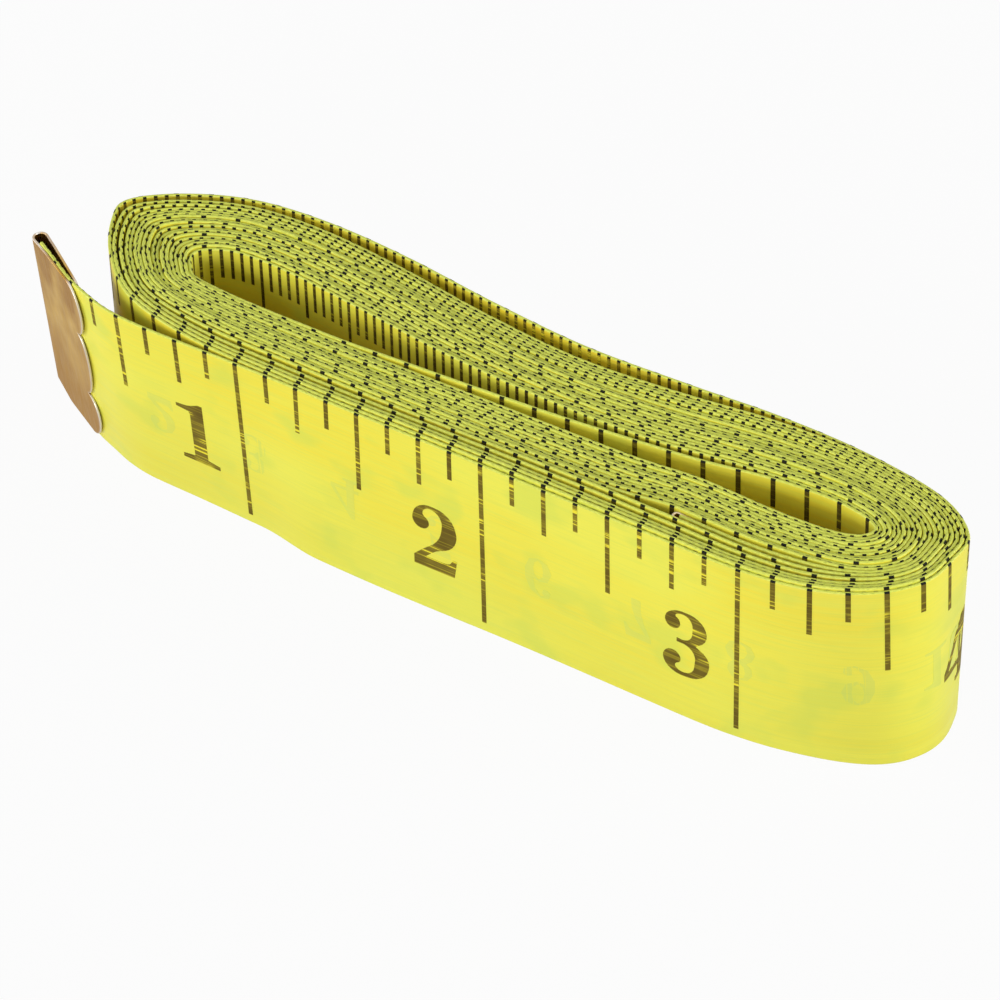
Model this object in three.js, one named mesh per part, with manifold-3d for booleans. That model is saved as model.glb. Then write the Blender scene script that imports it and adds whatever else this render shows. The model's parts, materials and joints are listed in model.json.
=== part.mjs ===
// A cloth tape measure, wound on edge into a flat oval coil. Millimetres, +Z up.
// The ribbon is one unbroken strip: it runs from the brass clip on its free end, round and round inwards,
// crosses the hollow middle and winds outwards again, turned the other way, to a second brass clip.
import * as THREE from "three";
import Module from "manifold-3d";
import { mergeVertices } from "three/addons/utils/BufferGeometryUtils.js";

const wasm = await Module();
wasm.setup();

// Ribbon
const tapeWidth = 19.05;
const tapeThickness = 0.24;

// Coil, measured on the centre line of its outermost turn
const coilLength = 86.6;
const coilDepth = 19.75;
const outerTurns = 3;
const pairedTurns = 4;
const farSlack = 0.55;
const middleSlack = 0.35;

// Clips: folded sheet with a scalloped edge. The outer one's fold stands open like a drop, and the inner
// one's is flat.
const clipSheet = 0.25;
const clipTapeClearance = 0.2;
const clipLength = 9.7;
const clipFoldTrim = 0.85;
const clipMouthTrim = 0.15;
const clipFoldHeight = tapeWidth - clipFoldTrim;
const clipMouthHeight = tapeWidth - clipMouthTrim;
const clipLobeDepth = 1.4;
const lobeShares = [0, 0.33, 0.73, 1];
const outerFoldWidth = 1.4;
const clipFoldClearance = 0.25;
const outerClipRise = 0.25;
const innerClipClearance = 0.3;
const cutOverrun = 1;

// Free end: flat along the front, then a soft bend that ends just inside the clip, then straight to the tip
const leadBendRadius = 8;
const leadBendAngle = 28;
const leadBendInset = 0.6;
const leadTipLength = clipLength - leadBendInset;
const leadSegments = 7;
const hingeGap = 0.3;
// Towards its tip the free end leans back: in the clip its lower edge lies this far behind its upper edge
const tipLean = 1.75;
const leanFadeLength = 11.3;

// Smoothness
const stepsPerStation = 2;
const bendSteps = 4;
const foldSteps = 10;
const lobeSteps = 6;
const gapSampleStep = 0.4;
const gapSkipLength = 4;
const leastMitreShare = 0.5;

// The coil's plan as seen from above, round from the front, anticlockwise. Each station has a point on the
// outermost turn and one on the innermost, as shares of the coil's length (from its left end) and depth.
const stationShares = [
  [[0.305, 0.0], [0.305, 0.362]],
  [[0.478, 0.003], [0.478, 0.372]],
  [[0.617, 0.005], [0.617, 0.387]],
  [[0.732, 0.01], [0.732, 0.405]],
  [[0.828, 0.015], [0.824, 0.395]],
  [[0.901, 0.063], [0.881, 0.41]],
  [[0.958, 0.18], [0.906, 0.443]],
  [[0.993, 0.354], [0.916, 0.484]],
  [[1.0, 0.537], [0.917, 0.527]],
  [[0.995, 0.704], [0.906, 0.557]],
  [[0.946, 0.848], [0.889, 0.577]],
  [[0.853, 0.919], [0.848, 0.592]],
  [[0.755, 0.927], [0.755, 0.559]],
  [[0.651, 0.894], [0.651, 0.494]],
  [[0.536, 0.876], [0.536, 0.478]],
  [[0.42, 0.919], [0.42, 0.506]],
  [[0.305, 0.98], [0.305, 0.57]],
  [[0.201, 1.0], [0.209, 0.613]],
  [[0.115, 0.959], [0.152, 0.608]],
  [[0.048, 0.835], [0.128, 0.572]],
  [[0.003, 0.671], [0.117, 0.527]],
  [[0.005, 0.537], [0.117, 0.478]],
  [[0.038, 0.319], [0.125, 0.433]],
  [[0.097, 0.116], [0.139, 0.392]],
  [[0.189, 0.018], [0.206, 0.367]],
];
// Stations, as shares of a turn, between which each turn slips under the one outside it, and the windows of
// the slack on the far side
const stations = stationShares.length;
const slipShares = [22.6 / stations, 25 / stations];
const slackShares = [10.5 / stations, 13.5 / stations, 19.5 / stations, 22.5 / stations];
const middleSlackShares = [11.5 / stations, 14.5 / stations, 15 / stations, 18 / stations];
// The flat front: its stations, and the place of the free end's bend as a share of the coil's length
const frontIndex = 1;
const frontEndIndex = 4;
const leadBendShare = 0.0877;
const frontStepShare = stationShares[frontEndIndex][0][0] - stationShares[frontEndIndex - 1][0][0];
// The second clip's mouth, as a share of a turn. The second end lies the clip's length to the left of it, and
// the turns inside close up there and bulge round the clip.
const mouthShare = 4.27 / stations;
const endShare = mouthShare - clipLength / (frontStepShare * coilLength) / stations;
const endShares = [endShare - 0.75 / stations, endShare];
const bulgeShares = [endShare - 0.9 / stations, endShare - 0.1 / stations, 4.5 / stations, 5.9 / stations];
// The strip across the hollow, from the front turns on the left to the back turns on the right
const crossingStartIndex = 0;
const crossingEndIndex = 11;
const crossingShares = [
  [0.39, 0.379],
  [0.478, 0.4],
  [0.57, 0.433],
  [0.651, 0.476],
  [0.721, 0.516],
  [0.79, 0.572],
];

const outerLoop = stationShares.map(([outer]) => sharePoint(outer));
const innerLoop = stationShares.map(([, inner]) => sharePoint(inner));
const crossingLevel = outerTurns + 2 * pairedTurns - 2;
const clipThickness = tapeThickness + 2 * clipTapeClearance + 2 * clipSheet;

function sharePoint([along, across]) {
  return new THREE.Vector2(along * coilLength, across * coilDepth);
}

function smoothShare(share, from, to) {
  return THREE.MathUtils.smoothstep(share, from, to);
}

// A window that rises between the first two shares of a turn and falls between the last two
function windowShare(share, [riseFrom, riseTo, fallFrom, fallTo]) {
  return smoothShare(share, riseFrom, riseTo) * (1 - smoothShare(share, fallFrom, fallTo));
}

// A point on a closed smooth loop through the stations
function loopPoint(loop, station) {
  const before = Math.floor(station);
  const at = (step) => loop[(((before + step) % stations) + stations) % stations];
  const curve = new THREE.SplineCurve([at(-1), at(0), at(1), at(2)]);
  return curve.getPoint((1 + station - before) / 3);
}

// A level counts the turns that lie outside a turn. Its place is a share of the way from the outer to the
// inner loop, with the slack of the outermost turn on the far side and the room that the second clip takes.
function windingPoint(level, station) {
  const outer = loopPoint(outerLoop, station);
  const inner = loopPoint(innerLoop, station);
  const share = station / stations - Math.floor(station / stations);
  const depth = outer.distanceTo(inner);
  const endSlack = farSlack * windowShare(share, slackShares);
  const slack = endSlack + middleSlack * windowShare(share, middleSlackShares);
  const clipRoom = clipThickness + 2 * innerClipClearance + tapeThickness;
  const missingRoom = clipRoom - (2 * (depth - slack)) / crossingLevel;
  const bulge = (windowShare(share, bulgeShares) * missingRoom) / (1 - 2 / crossingLevel);
  const past = THREE.MathUtils.clamp(level - (outerTurns - 1), 0, 2) / 2;
  const spread = (depth - slack - bulge) / crossingLevel;
  const offset = slack * Math.min(level, 1) + bulge * past + spread * level;
  return outer.lerp(inner, offset / depth);
}

// Level of the inward arm after so many stations, and of the outward arm, which runs backwards from the
// crossing
function inwardLevel(station) {
  let level = 0;
  for (let turn = 0; turn * stations <= station; turn += 1) {
    const share = station / stations - turn;
    level += smoothShare(share, slipShares[0], slipShares[1]);
    if (turn >= outerTurns) level += smoothShare(share, endShares[0], endShares[1]);
  }
  return level;
}

function outwardLevel(station) {
  let level = crossingLevel;
  for (let turn = 0; turn < pairedTurns; turn += 1) {
    const share = station / stations + turn;
    level -= 1 - smoothShare(share, endShares[0], endShares[1]);
    level -= 1 - smoothShare(share + 1, slipShares[0], slipShares[1]);
  }
  return level;
}

// The free end, from the clip to the flat front of the coil at station 1
function leadPoints() {
  const bendStart = new THREE.Vector2(leadBendShare * coilLength, outerLoop[0].y);
  const angle = THREE.MathUtils.degToRad(leadBendAngle);
  const points = [];
  for (let step = 0; step <= bendSteps; step += 1) {
    const turned = (angle * step) / bendSteps;
    const drop = leadBendRadius * (1 - Math.cos(turned));
    points.unshift(new THREE.Vector2(bendStart.x - leadBendRadius * Math.sin(turned), bendStart.y + drop));
  }
  const toTip = new THREE.Vector2(-Math.cos(angle), Math.sin(angle)).multiplyScalar(leadTipLength);
  points.unshift(points[0].clone().add(toTip));
  return points;
}

// The whole centre line, from the free end's tip to the second end
function tapeCentreLine() {
  const points = leadPoints();
  const inwardStations = (outerTurns + pairedTurns - 1) * stations;
  for (let step = frontIndex * stepsPerStation; step <= inwardStations * stepsPerStation; step += 1) {
    const station = step / stepsPerStation;
    points.push(windingPoint(inwardLevel(station), station));
  }
  const crossingStart = windingPoint(crossingLevel, crossingStartIndex);
  const crossingEnd = windingPoint(crossingLevel, crossingEndIndex);
  const before = points[points.length - 2];
  const after = windingPoint(crossingLevel, crossingEndIndex - 1);
  const middle = crossingShares.map(sharePoint);
  const crossing = new THREE.SplineCurve([before, crossingStart, ...middle, crossingEnd, after]);
  const spans = middle.length + 3;
  for (let step = stepsPerStation + 1; step <= (spans - 1) * stepsPerStation; step += 1) {
    points.push(crossing.getPoint(step / (spans * stepsPerStation)));
  }
  const outwardStations = crossingEndIndex - endShares[1] * stations + (pairedTurns - 1) * stations;
  for (let step = 1; step < outwardStations * stepsPerStation; step += 1) {
    const station = crossingEndIndex - step / stepsPerStation;
    points.push(windingPoint(outwardLevel(station), station));
  }
  const lastStation = crossingEndIndex - outwardStations;
  points.push(windingPoint(outwardLevel(lastStation), lastStation));
  return points;
}

const centreLine = tapeCentreLine();
const lengthAt = [0];
for (let index = 1; index < centreLine.length; index += 1) {
  lengthAt.push(lengthAt[index - 1] + centreLine[index].distanceTo(centreLine[index - 1]));
}
const tapeLength = lengthAt[lengthAt.length - 1];

function pointAtLength(length) {
  let index = 1;
  while (index < lengthAt.length - 1 && lengthAt[index] < length) index += 1;
  const share = (length - lengthAt[index - 1]) / (lengthAt[index] - lengthAt[index - 1]);
  return centreLine[index - 1].clone().lerp(centreLine[index], share);
}

// How far the lower edge lies behind the upper edge, at a length from the free end's tip
function leanAt(length) {
  const share = (length - clipLength) / leanFadeLength;
  return tipLean * (1 - THREE.MathUtils.clamp(share, 0, 1) ** 2);
}

// A ribbon on edge along the centre line between two lengths, joined in one closed body. Where it leans on a
// bend, the lower edge runs on the inside of the bend, so it also reaches further towards the tip.
function ribbonGeometry(fromLength, toLength) {
  const after = fromLength + tapeThickness;
  const before = toLength - tapeThickness;
  const between = lengthAt.filter((length) => length > after && length < before);
  const lengths = [fromLength, ...between, toLength];
  const path = lengths.map(pointAtLength);
  const positions = [];
  path.forEach((point, index) => {
    const into = point.clone().sub(path[Math.max(index - 1, 0)]).normalize();
    const out = path[Math.min(index + 1, path.length - 1)].clone().sub(point).normalize();
    const along = into.clone().add(out).normalize();
    const chord = index === 0 ? out : into;
    const mitre = tapeThickness / 2 / Math.max(along.dot(chord), leastMitreShare);
    const across = new THREE.Vector2(-along.y, along.x);
    const side = across.clone().multiplyScalar(mitre);
    const lean = leanAt(lengths[index]);
    const turned = Math.atan2(-along.y, along.x);
    const foot = point.clone().addScaledVector(across, lean).addScaledVector(along, -lean * turned);
    positions.push(foot.x + side.x, foot.y + side.y, 0, foot.x - side.x, foot.y - side.y, 0);
    positions.push(point.x - side.x, point.y - side.y, tapeWidth);
    positions.push(point.x + side.x, point.y + side.y, tapeWidth);
  });
  const corners = 4;
  const faces = [];
  for (let ring = 0; ring < path.length - 1; ring += 1) {
    for (let corner = 0; corner < corners; corner += 1) {
      const here = ring * corners + corner;
      const next = ring * corners + ((corner + 1) % corners);
      faces.push(here, here + corners, next, next, here + corners, next + corners);
    }
  }
  const last = (path.length - 1) * corners;
  faces.push(0, 1, 2, 0, 2, 3, last, last + 2, last + 1, last, last + 3, last + 2);
  const geometry = new THREE.BufferGeometry();
  geometry.setAttribute("position", new THREE.Float32BufferAttribute(positions, 3));
  geometry.setIndex(faces);
  geometry.computeVertexNormals();
  return geometry;
}

function toSolid(geometry) {
  const bare = geometry.clone();
  bare.deleteAttribute("normal");
  bare.deleteAttribute("uv");
  const merged = mergeVertices(bare);
  const vertProperties = new Float32Array(merged.attributes.position.array);
  const triVerts = new Uint32Array(merged.index.array);
  return new wasm.Manifold(new wasm.Mesh({ numProp: 3, vertProperties, triVerts }));
}

function toGeometry(solid) {
  const mesh = solid.getMesh();
  const geometry = new THREE.BufferGeometry();
  geometry.setAttribute("position", new THREE.BufferAttribute(mesh.vertProperties, 3));
  geometry.setIndex(new THREE.BufferAttribute(mesh.triVerts, 1));
  geometry.computeVertexNormals();
  return geometry;
}

// A clip in its own frame: the fold's outside on the Z axis, the mouth along +X, the fold's top at zero
// height, and the ribbon in the plane of X and Z. Its rear sheet slopes from the fold to the ribbon.
function clipGeometry(foldWidth) {
  const outside = clipThickness / 2;
  const inside = outside - clipSheet;
  const foldRadius = foldWidth / 2;
  const foldMiddle = foldRadius - outside;
  const far = clipLength + cutOverrun;
  const section = new THREE.Shape();
  section.moveTo(far, outside);
  section.lineTo(foldRadius, foldMiddle + foldRadius);
  section.absarc(foldRadius, foldMiddle, foldRadius, Math.PI / 2, (3 * Math.PI) / 2, false);
  section.lineTo(far, -outside);
  section.lineTo(far, -inside);
  section.lineTo(foldRadius, -inside);
  section.absarc(foldRadius, foldMiddle, foldRadius - clipSheet, (3 * Math.PI) / 2, Math.PI / 2, true);
  section.lineTo(far, inside);
  section.closePath();
  const cusp = clipLength - clipLobeDepth;
  const outline = new THREE.Shape();
  outline.moveTo(-cutOverrun, 0);
  outline.lineTo(cusp, 0);
  for (let lobe = 1; lobe < lobeShares.length; lobe += 1) {
    const halfHeight = (clipMouthHeight * (lobeShares[lobe] - lobeShares[lobe - 1])) / 2;
    const middle = (-clipMouthHeight * (lobeShares[lobe] + lobeShares[lobe - 1])) / 2;
    const radius = (halfHeight * halfHeight) / (2 * clipLobeDepth) + clipLobeDepth / 2;
    const angle = Math.asin(halfHeight / radius);
    outline.absarc(clipLength - radius, middle, radius, angle, -angle, true);
  }
  outline.lineTo(0, -clipFoldHeight);
  outline.lineTo(-cutOverrun, -clipFoldHeight);
  outline.closePath();
  const depth = clipMouthHeight + 2 * cutOverrun;
  const sheetOptions = { depth, bevelEnabled: false, curveSegments: foldSteps };
  const sheet = new THREE.ExtrudeGeometry(section, sheetOptions);
  sheet.translate(0, 0, cutOverrun - depth);
  const blankOptions = { depth: 2 * far, bevelEnabled: false, curveSegments: lobeSteps };
  const blank = new THREE.ExtrudeGeometry(outline, blankOptions);
  blank.translate(0, 0, -far);
  blank.rotateX(Math.PI / 2);
  return toGeometry(toSolid(sheet).intersect(toSolid(blank)));
}

// The least distance between the ribbon's own faces, measured on points along its centre line
function leastGap() {
  const samples = [];
  for (let length = 0; length < tapeLength; length += gapSampleStep) {
    samples.push([length, pointAtLength(length)]);
  }
  let least = coilLength;
  samples.forEach(([length, point], index) => {
    for (let other = index + 1; other < samples.length; other += 1) {
      const isApart = samples[other][0] - length > gapSkipLength;
      if (isApart) least = Math.min(least, point.distanceTo(samples[other][1]));
    }
  });
  return least - tapeThickness;
}

const tapeMaterial = new THREE.MeshStandardMaterial({ color: 0xe0dc50, roughness: 0.5, metalness: 0 });
const brassMaterial = new THREE.MeshStandardMaterial({ color: 0xc8a064, roughness: 0.35, metalness: 1 });

const tapeMeasure = new THREE.Group();

function addMesh(name, geometry, material, parent) {
  const mesh = new THREE.Mesh(geometry, material);
  mesh.name = name;
  parent.add(mesh);
  return mesh;
}

// The flat front and the tip are cut into segments, joined by upright hinge lines in the middle of each gap
const tipHinge = leadTipLength + THREE.MathUtils.degToRad(leadBendAngle) * leadBendRadius;
const frontHinge = tipHinge + outerLoop[frontEndIndex].x - leadBendShare * coilLength;
const hingeLengths = [];
for (let hinge = 0; hinge <= leadSegments; hinge += 1) {
  hingeLengths.push(frontHinge - ((frontHinge - tipHinge) * hinge) / leadSegments);
}
const endInset = clipSheet + clipFoldClearance;

function addRibbon(name, fromLength, toLength) {
  addMesh(name, ribbonGeometry(fromLength, toLength), tapeMaterial, tapeMeasure);
}

addRibbon("tape_coil", frontHinge + hingeGap / 2, tapeLength - endInset);
for (let segment = 1; segment <= leadSegments; segment += 1) {
  const from = hingeLengths[segment] + hingeGap / 2;
  addRibbon(`tape_lead_${segment}`, from, hingeLengths[segment - 1] - hingeGap / 2);
}
addRibbon("tape_tip", endInset, tipHinge - hingeGap / 2);

// Places a clip with its fold at one end of the ribbon and its mouth along the ribbon, leaning as it does
function addClip(name, foldWidth, fold, towards, top, lean, turned) {
  const heading = new THREE.Group();
  heading.position.set(fold.x, fold.y, top);
  heading.rotation.z = Math.atan2(towards.y - fold.y, towards.x - fold.x);
  tapeMeasure.add(heading);
  const leaning = new THREE.Group();
  leaning.rotation.x = Math.atan2(lean, tapeWidth);
  heading.add(leaning);
  const clip = addMesh(name, clipGeometry(foldWidth), brassMaterial, leaning);
  clip.rotation.y = Math.atan2(lean * turned, tapeWidth);
}

const tipTurn = THREE.MathUtils.degToRad(leadBendAngle);
const outerClipTop = tapeWidth + outerClipRise;
addClip("outer_end_clip", outerFoldWidth, centreLine[0], centreLine[1], outerClipTop, tipLean, tipTurn);
const secondEnd = pointAtLength(tapeLength);
const secondMouth = pointAtLength(tapeLength - clipLength);
const innerClipTop = tapeWidth - clipMouthTrim / 2;
addClip("inner_end_clip", clipThickness, secondEnd, secondMouth, innerClipTop, 0, 0);

// The origin is at the bottom centre of the whole
const box = new THREE.Box3().setFromObject(tapeMeasure, true);
const centre = box.getCenter(new THREE.Vector3());
tapeMeasure.position.set(-centre.x, -centre.y, 0);

console.log(`tape length ${tapeLength.toFixed(1)} mm, least gap ${leastGap().toFixed(3)} mm`);
console.log(`shift ${centre.x.toFixed(4)} ${centre.y.toFixed(4)} mm, height ${box.max.z.toFixed(2)} mm`);
hingeLengths.forEach((length, hinge) => {
  const axis = pointAtLength(length).sub(new THREE.Vector2(centre.x, centre.y));
  console.log(`hinge ${hinge + 1} at ${axis.x.toFixed(3)} ${axis.y.toFixed(3)} mm`);
});

export default tapeMeasure;
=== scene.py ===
# %% [markdown]
# # A cloth tape measure, wound on edge
# A tape measure for sewing is one coated ribbon with a brass clip folded over each end. Here it is wound
# on edge into a flat oval coil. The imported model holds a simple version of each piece, and this lesson
# dresses them. The ribbon could be modelled in its wound place, but then each number on it would have to be
# bent by itself. So it is modelled flat, as it is woven and printed, and then wound by moving its points.

# %% The frame
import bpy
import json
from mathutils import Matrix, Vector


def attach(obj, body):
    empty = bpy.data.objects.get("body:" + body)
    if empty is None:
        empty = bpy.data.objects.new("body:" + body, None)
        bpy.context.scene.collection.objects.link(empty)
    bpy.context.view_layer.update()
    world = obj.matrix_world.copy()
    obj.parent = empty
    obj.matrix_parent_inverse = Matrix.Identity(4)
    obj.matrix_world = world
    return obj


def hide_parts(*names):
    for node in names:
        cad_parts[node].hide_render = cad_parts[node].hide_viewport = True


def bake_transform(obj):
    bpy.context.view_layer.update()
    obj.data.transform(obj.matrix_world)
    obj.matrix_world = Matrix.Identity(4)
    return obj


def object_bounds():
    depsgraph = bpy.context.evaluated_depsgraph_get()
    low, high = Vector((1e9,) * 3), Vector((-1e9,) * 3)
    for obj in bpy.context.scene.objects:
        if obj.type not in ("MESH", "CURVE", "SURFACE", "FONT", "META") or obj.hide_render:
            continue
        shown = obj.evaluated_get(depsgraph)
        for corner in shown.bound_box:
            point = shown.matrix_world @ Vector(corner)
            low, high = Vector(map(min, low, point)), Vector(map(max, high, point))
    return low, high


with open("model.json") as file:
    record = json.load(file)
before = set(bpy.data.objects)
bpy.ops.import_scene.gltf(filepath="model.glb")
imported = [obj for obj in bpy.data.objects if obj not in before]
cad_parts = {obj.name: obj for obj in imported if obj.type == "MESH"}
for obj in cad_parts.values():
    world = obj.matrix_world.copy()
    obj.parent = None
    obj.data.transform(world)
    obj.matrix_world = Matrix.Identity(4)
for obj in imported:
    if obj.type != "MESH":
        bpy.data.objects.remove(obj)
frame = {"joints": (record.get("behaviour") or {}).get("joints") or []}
cad_low, cad_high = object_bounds()
print("frame from", tuple(cad_low), "to", tuple(cad_high))

import json
import math

import bmesh
import bpy
import numpy as np
from mathutils import Matrix, Vector

MM = 0.001

# %% [markdown]
# ## The camera
# The photograph was taken from the front right, about 42 degrees above the table, with a long lens half a
# metre away. A camera could be turned by eye until the view looks alike. The printed eighths of an inch give
# a surer way: their places on the picture and on the tape fix the lens, the distance and the angles. The
# camera comes first, because every later choice is compared with the photograph through it.

# %% Camera
FOCAL_PIXELS = 5567.0
IMAGE_PIXELS = 1000.0
SENSOR_WIDTH = 36.0
NEAREST_SEEN = 0.01
FARTHEST_SEEN = 20.0
CAMERA_DISTANCE = 496.0 * MM
CAMERA_TARGET = Vector((-2.785, 4.713, 0.0)) * MM
CAMERA_TURN = math.radians(34.85)
CAMERA_HEIGHT_ANGLE = math.radians(41.81)
CAMERA_ROLL = math.radians(-2.14)


def linked(name, data):
    """A new object for the data, linked to the scene."""
    obj = bpy.data.objects.new(name, data)
    bpy.context.scene.collection.objects.link(obj)
    return obj


def add_camera():
    flat = math.cos(CAMERA_HEIGHT_ANGLE)
    rise = math.sin(CAMERA_HEIGHT_ANGLE)
    back = Vector((math.sin(CAMERA_TURN) * flat, -math.cos(CAMERA_TURN) * flat, rise))
    level_right = Vector((math.cos(CAMERA_TURN), math.sin(CAMERA_TURN), 0.0))
    level_up = back.cross(level_right)
    right = level_right * math.cos(CAMERA_ROLL) + level_up * math.sin(CAMERA_ROLL)
    up = level_up * math.cos(CAMERA_ROLL) - level_right * math.sin(CAMERA_ROLL)
    data = bpy.data.cameras.new("camera")
    data.sensor_width = SENSOR_WIDTH
    data.lens = data.sensor_width * FOCAL_PIXELS / IMAGE_PIXELS
    data.clip_start = NEAREST_SEEN
    data.clip_end = FARTHEST_SEEN
    camera = linked("camera", data)
    turn = Matrix((right, up, back)).transposed().to_4x4()
    camera.matrix_world = Matrix.Translation(CAMERA_TARGET + back * CAMERA_DISTANCE) @ turn
    bpy.context.scene.camera = camera
    return camera


camera = add_camera()
print("camera lens", round(camera.data.lens, 1), "mm")

# %% [markdown]
# ## The plan of the winding
# Seen from above, the ribbon is a double spiral. The free end's arm winds inwards, crosses the hollow middle
# in a flat S and winds outwards again between the first arm's turns. It could be drawn as one long curve by
# hand, but then no layer would follow its neighbour. So two closed loops bound the winding, and every turn
# is a level between them. The loops go through matched stations, given as shares of the coil's length and
# depth. The CAD source has the same stations, with fewer and thinner turns.

# %% Sizes of the ribbon and its winding, in millimetres
TAPE_WIDTH = 19.05
TAPE_THICKNESS = 0.36
COIL_SIZE = np.array([86.6, 19.85])
OUTER_TURNS = 6
PAIRED_TURNS = 7
CROSSING_LEVEL = OUTER_TURNS + 2 * PAIRED_TURNS - 2
print("the strip that crosses the hollow is at level", CROSSING_LEVEL)

# %% The stations of the outer and the inner loop, along the front to the right and round the back
STATION_SHARES = [
    ((0.305, 0.0), (0.305, 0.362)),
    ((0.478, 0.003), (0.478, 0.372)),
    ((0.617, 0.005), (0.617, 0.387)),
    ((0.732, 0.01), (0.732, 0.405)),
    ((0.828, 0.015), (0.824, 0.395)),
    ((0.901, 0.063), (0.881, 0.41)),
    ((0.958, 0.18), (0.906, 0.443)),
    ((0.993, 0.354), (0.916, 0.484)),
    ((1.0, 0.537), (0.917, 0.527)),
    ((0.995, 0.704), (0.906, 0.557)),
    ((0.946, 0.848), (0.889, 0.577)),
    ((0.853, 0.919), (0.848, 0.592)),
    ((0.755, 0.927), (0.755, 0.559)),
    ((0.651, 0.894), (0.651, 0.494)),
    ((0.536, 0.876), (0.536, 0.478)),
    ((0.42, 0.919), (0.42, 0.506)),
    ((0.305, 0.98), (0.305, 0.57)),
    ((0.201, 1.0), (0.209, 0.613)),
    ((0.115, 0.959), (0.152, 0.608)),
    ((0.048, 0.835), (0.128, 0.572)),
    ((0.003, 0.671), (0.117, 0.527)),
    ((0.005, 0.537), (0.117, 0.478)),
    ((0.038, 0.319), (0.125, 0.433)),
    ((0.097, 0.116), (0.139, 0.392)),
    ((0.189, 0.018), (0.206, 0.367)),
]
STATIONS = len(STATION_SHARES)
outer_loop = np.array([outer for outer, inner in STATION_SHARES]) * COIL_SIZE
inner_loop = np.array([inner for outer, inner in STATION_SHARES]) * COIL_SIZE
print("stations round the coil:", STATIONS)

# %% [markdown]
# ## Where the turns slip, loosen and make room
# The layers of a real coil aren't packed evenly. Near the left of the front, each turn slips under the one
# outside it. The outermost turn stands off along the far side, and the layers at the left bend and behind
# the front are a little loose. Near the second end, the layers bulge to make room for its clip. Even gaps
# would be simpler to make, but a coil is known by its loose places. Each has a size, in millimetres, and the
# stations between which it rises and fades.

# %% Slips and loose places
SLIP_STATIONS = (22.6, 25.0)
FAR_SLACK = 0.7
SLACK_STATIONS = (10.5, 13.5, 19.5, 22.5)
MIDDLE_SLACK = 0.45
MIDDLE_SLACK_STATIONS = (11.5, 14.5, 15.0, 18.0)

# The looseness of each level, from the outermost inwards
LEFT_LOOSENESS = (0.0, -0.13, 0.05, 0.16, 0.1, 0.1, 0.0)
LEFT_STATIONS = (14.0, 18.5, 21.5, 24.5)
FRONT_LOOSENESS = (0.0, -0.03, 0.0, 0.0, 0.22, 0.45, 0.45, 0.45)
BACK_STATIONS = (4.5, 7.5, 21.5, 24.0)
print("the widest loose place is", FAR_SLACK + MIDDLE_SLACK, "mm")

# %% Room for the second clip
CLIP_SHEET = 0.22
INNER_CLIP_LENGTH = 9.7
INNER_CLIP_GAP = 0.03
INNER_CLIP_ROOM = 0.04
MOUTH_STATION = 4.27

# One station on the front there, as a share of the coil's length
FRONT_STATION_SHARE = 0.096

# How far before the second end the turns close up and the bulge rises, and where the bulge fades, in stations
CLOSE_UP_BEFORE_END = 0.75
BULGE_BEFORE_END = (0.9, 0.1)
BULGE_FALL = (4.5, 5.9)
inner_clip_thickness = TAPE_THICKNESS + 2 * (INNER_CLIP_GAP + CLIP_SHEET)
END_STATION = MOUTH_STATION - INNER_CLIP_LENGTH / (FRONT_STATION_SHARE * COIL_SIZE[0])
CLOSE_UP_STATIONS = (END_STATION - CLOSE_UP_BEFORE_END, END_STATION)
BULGE_STATIONS = (*(END_STATION - before for before in BULGE_BEFORE_END), *BULGE_FALL)
print("the second end lies at station", round(END_STATION, 2))

# %% [markdown]
# ## Smooth steps
# A slip or a loose place that began at once would crease the ribbon. A straight ramp would leave a kink at
# both of its ends. A smooth step rises from nought to one without either. The windows, the slips and the
# lean of the tape all use it.

# %% Smooth steps and windows


def smooth(start, end, value):
    share = np.clip((value - start) / (end - start), 0.0, 1.0)
    return share * share * (3.0 - 2.0 * share)


def window(value, rise_start, rise_end, fall_start, fall_end):
    return smooth(rise_start, rise_end, value) * (1.0 - smooth(fall_start, fall_end, value))


print("a smooth step, half and three quarters of the way:", smooth(0, 1, 0.5), smooth(0, 1, 0.75))

# %% [markdown]
# ## From levels to places
# A station says how far round the coil a place lies, and a level says how many turns lie outside it. The
# place is then found on the straight line from the outer loop to the inner one. It could be stored for every
# point, but a rule is shorter. While an arm winds inwards, its level goes up by one at each slip. In the
# paired turns it goes up by one more near the second end, from where the other arm lies between its turns.

# %% Loops through the stations


def spline(points, place):
    """Points on a smooth curve through the given ones. Place 1.5 is half way from point 1 to point 2."""
    before = np.clip(np.floor(place).astype(int), 1, len(points) - 3)
    t = (place - before)[:, None]
    p0, p1, p2, p3 = (points[before + step] for step in (-1, 0, 1, 2))
    bend = (2 * p0 - 5 * p1 + 4 * p2 - p3) * t**2 + (3 * p1 - p0 - 3 * p2 + p3) * t**3
    return 0.5 * (2 * p1 + (p2 - p0) * t + bend)


def loop_points(loop, station):
    wrapped = np.concatenate([loop[-1:], loop, loop[:3]])
    return spline(wrapped, np.mod(station, STATIONS) + 1)


ROUND_THE_LOOP = np.linspace(0, STATIONS, 1000)
loop_right = loop_points(outer_loop, ROUND_THE_LOOP)[:, 0].max()
print("the outer loop reaches", round(float(loop_right), 2), "mm to the right")

# %% Places for levels and stations


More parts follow.
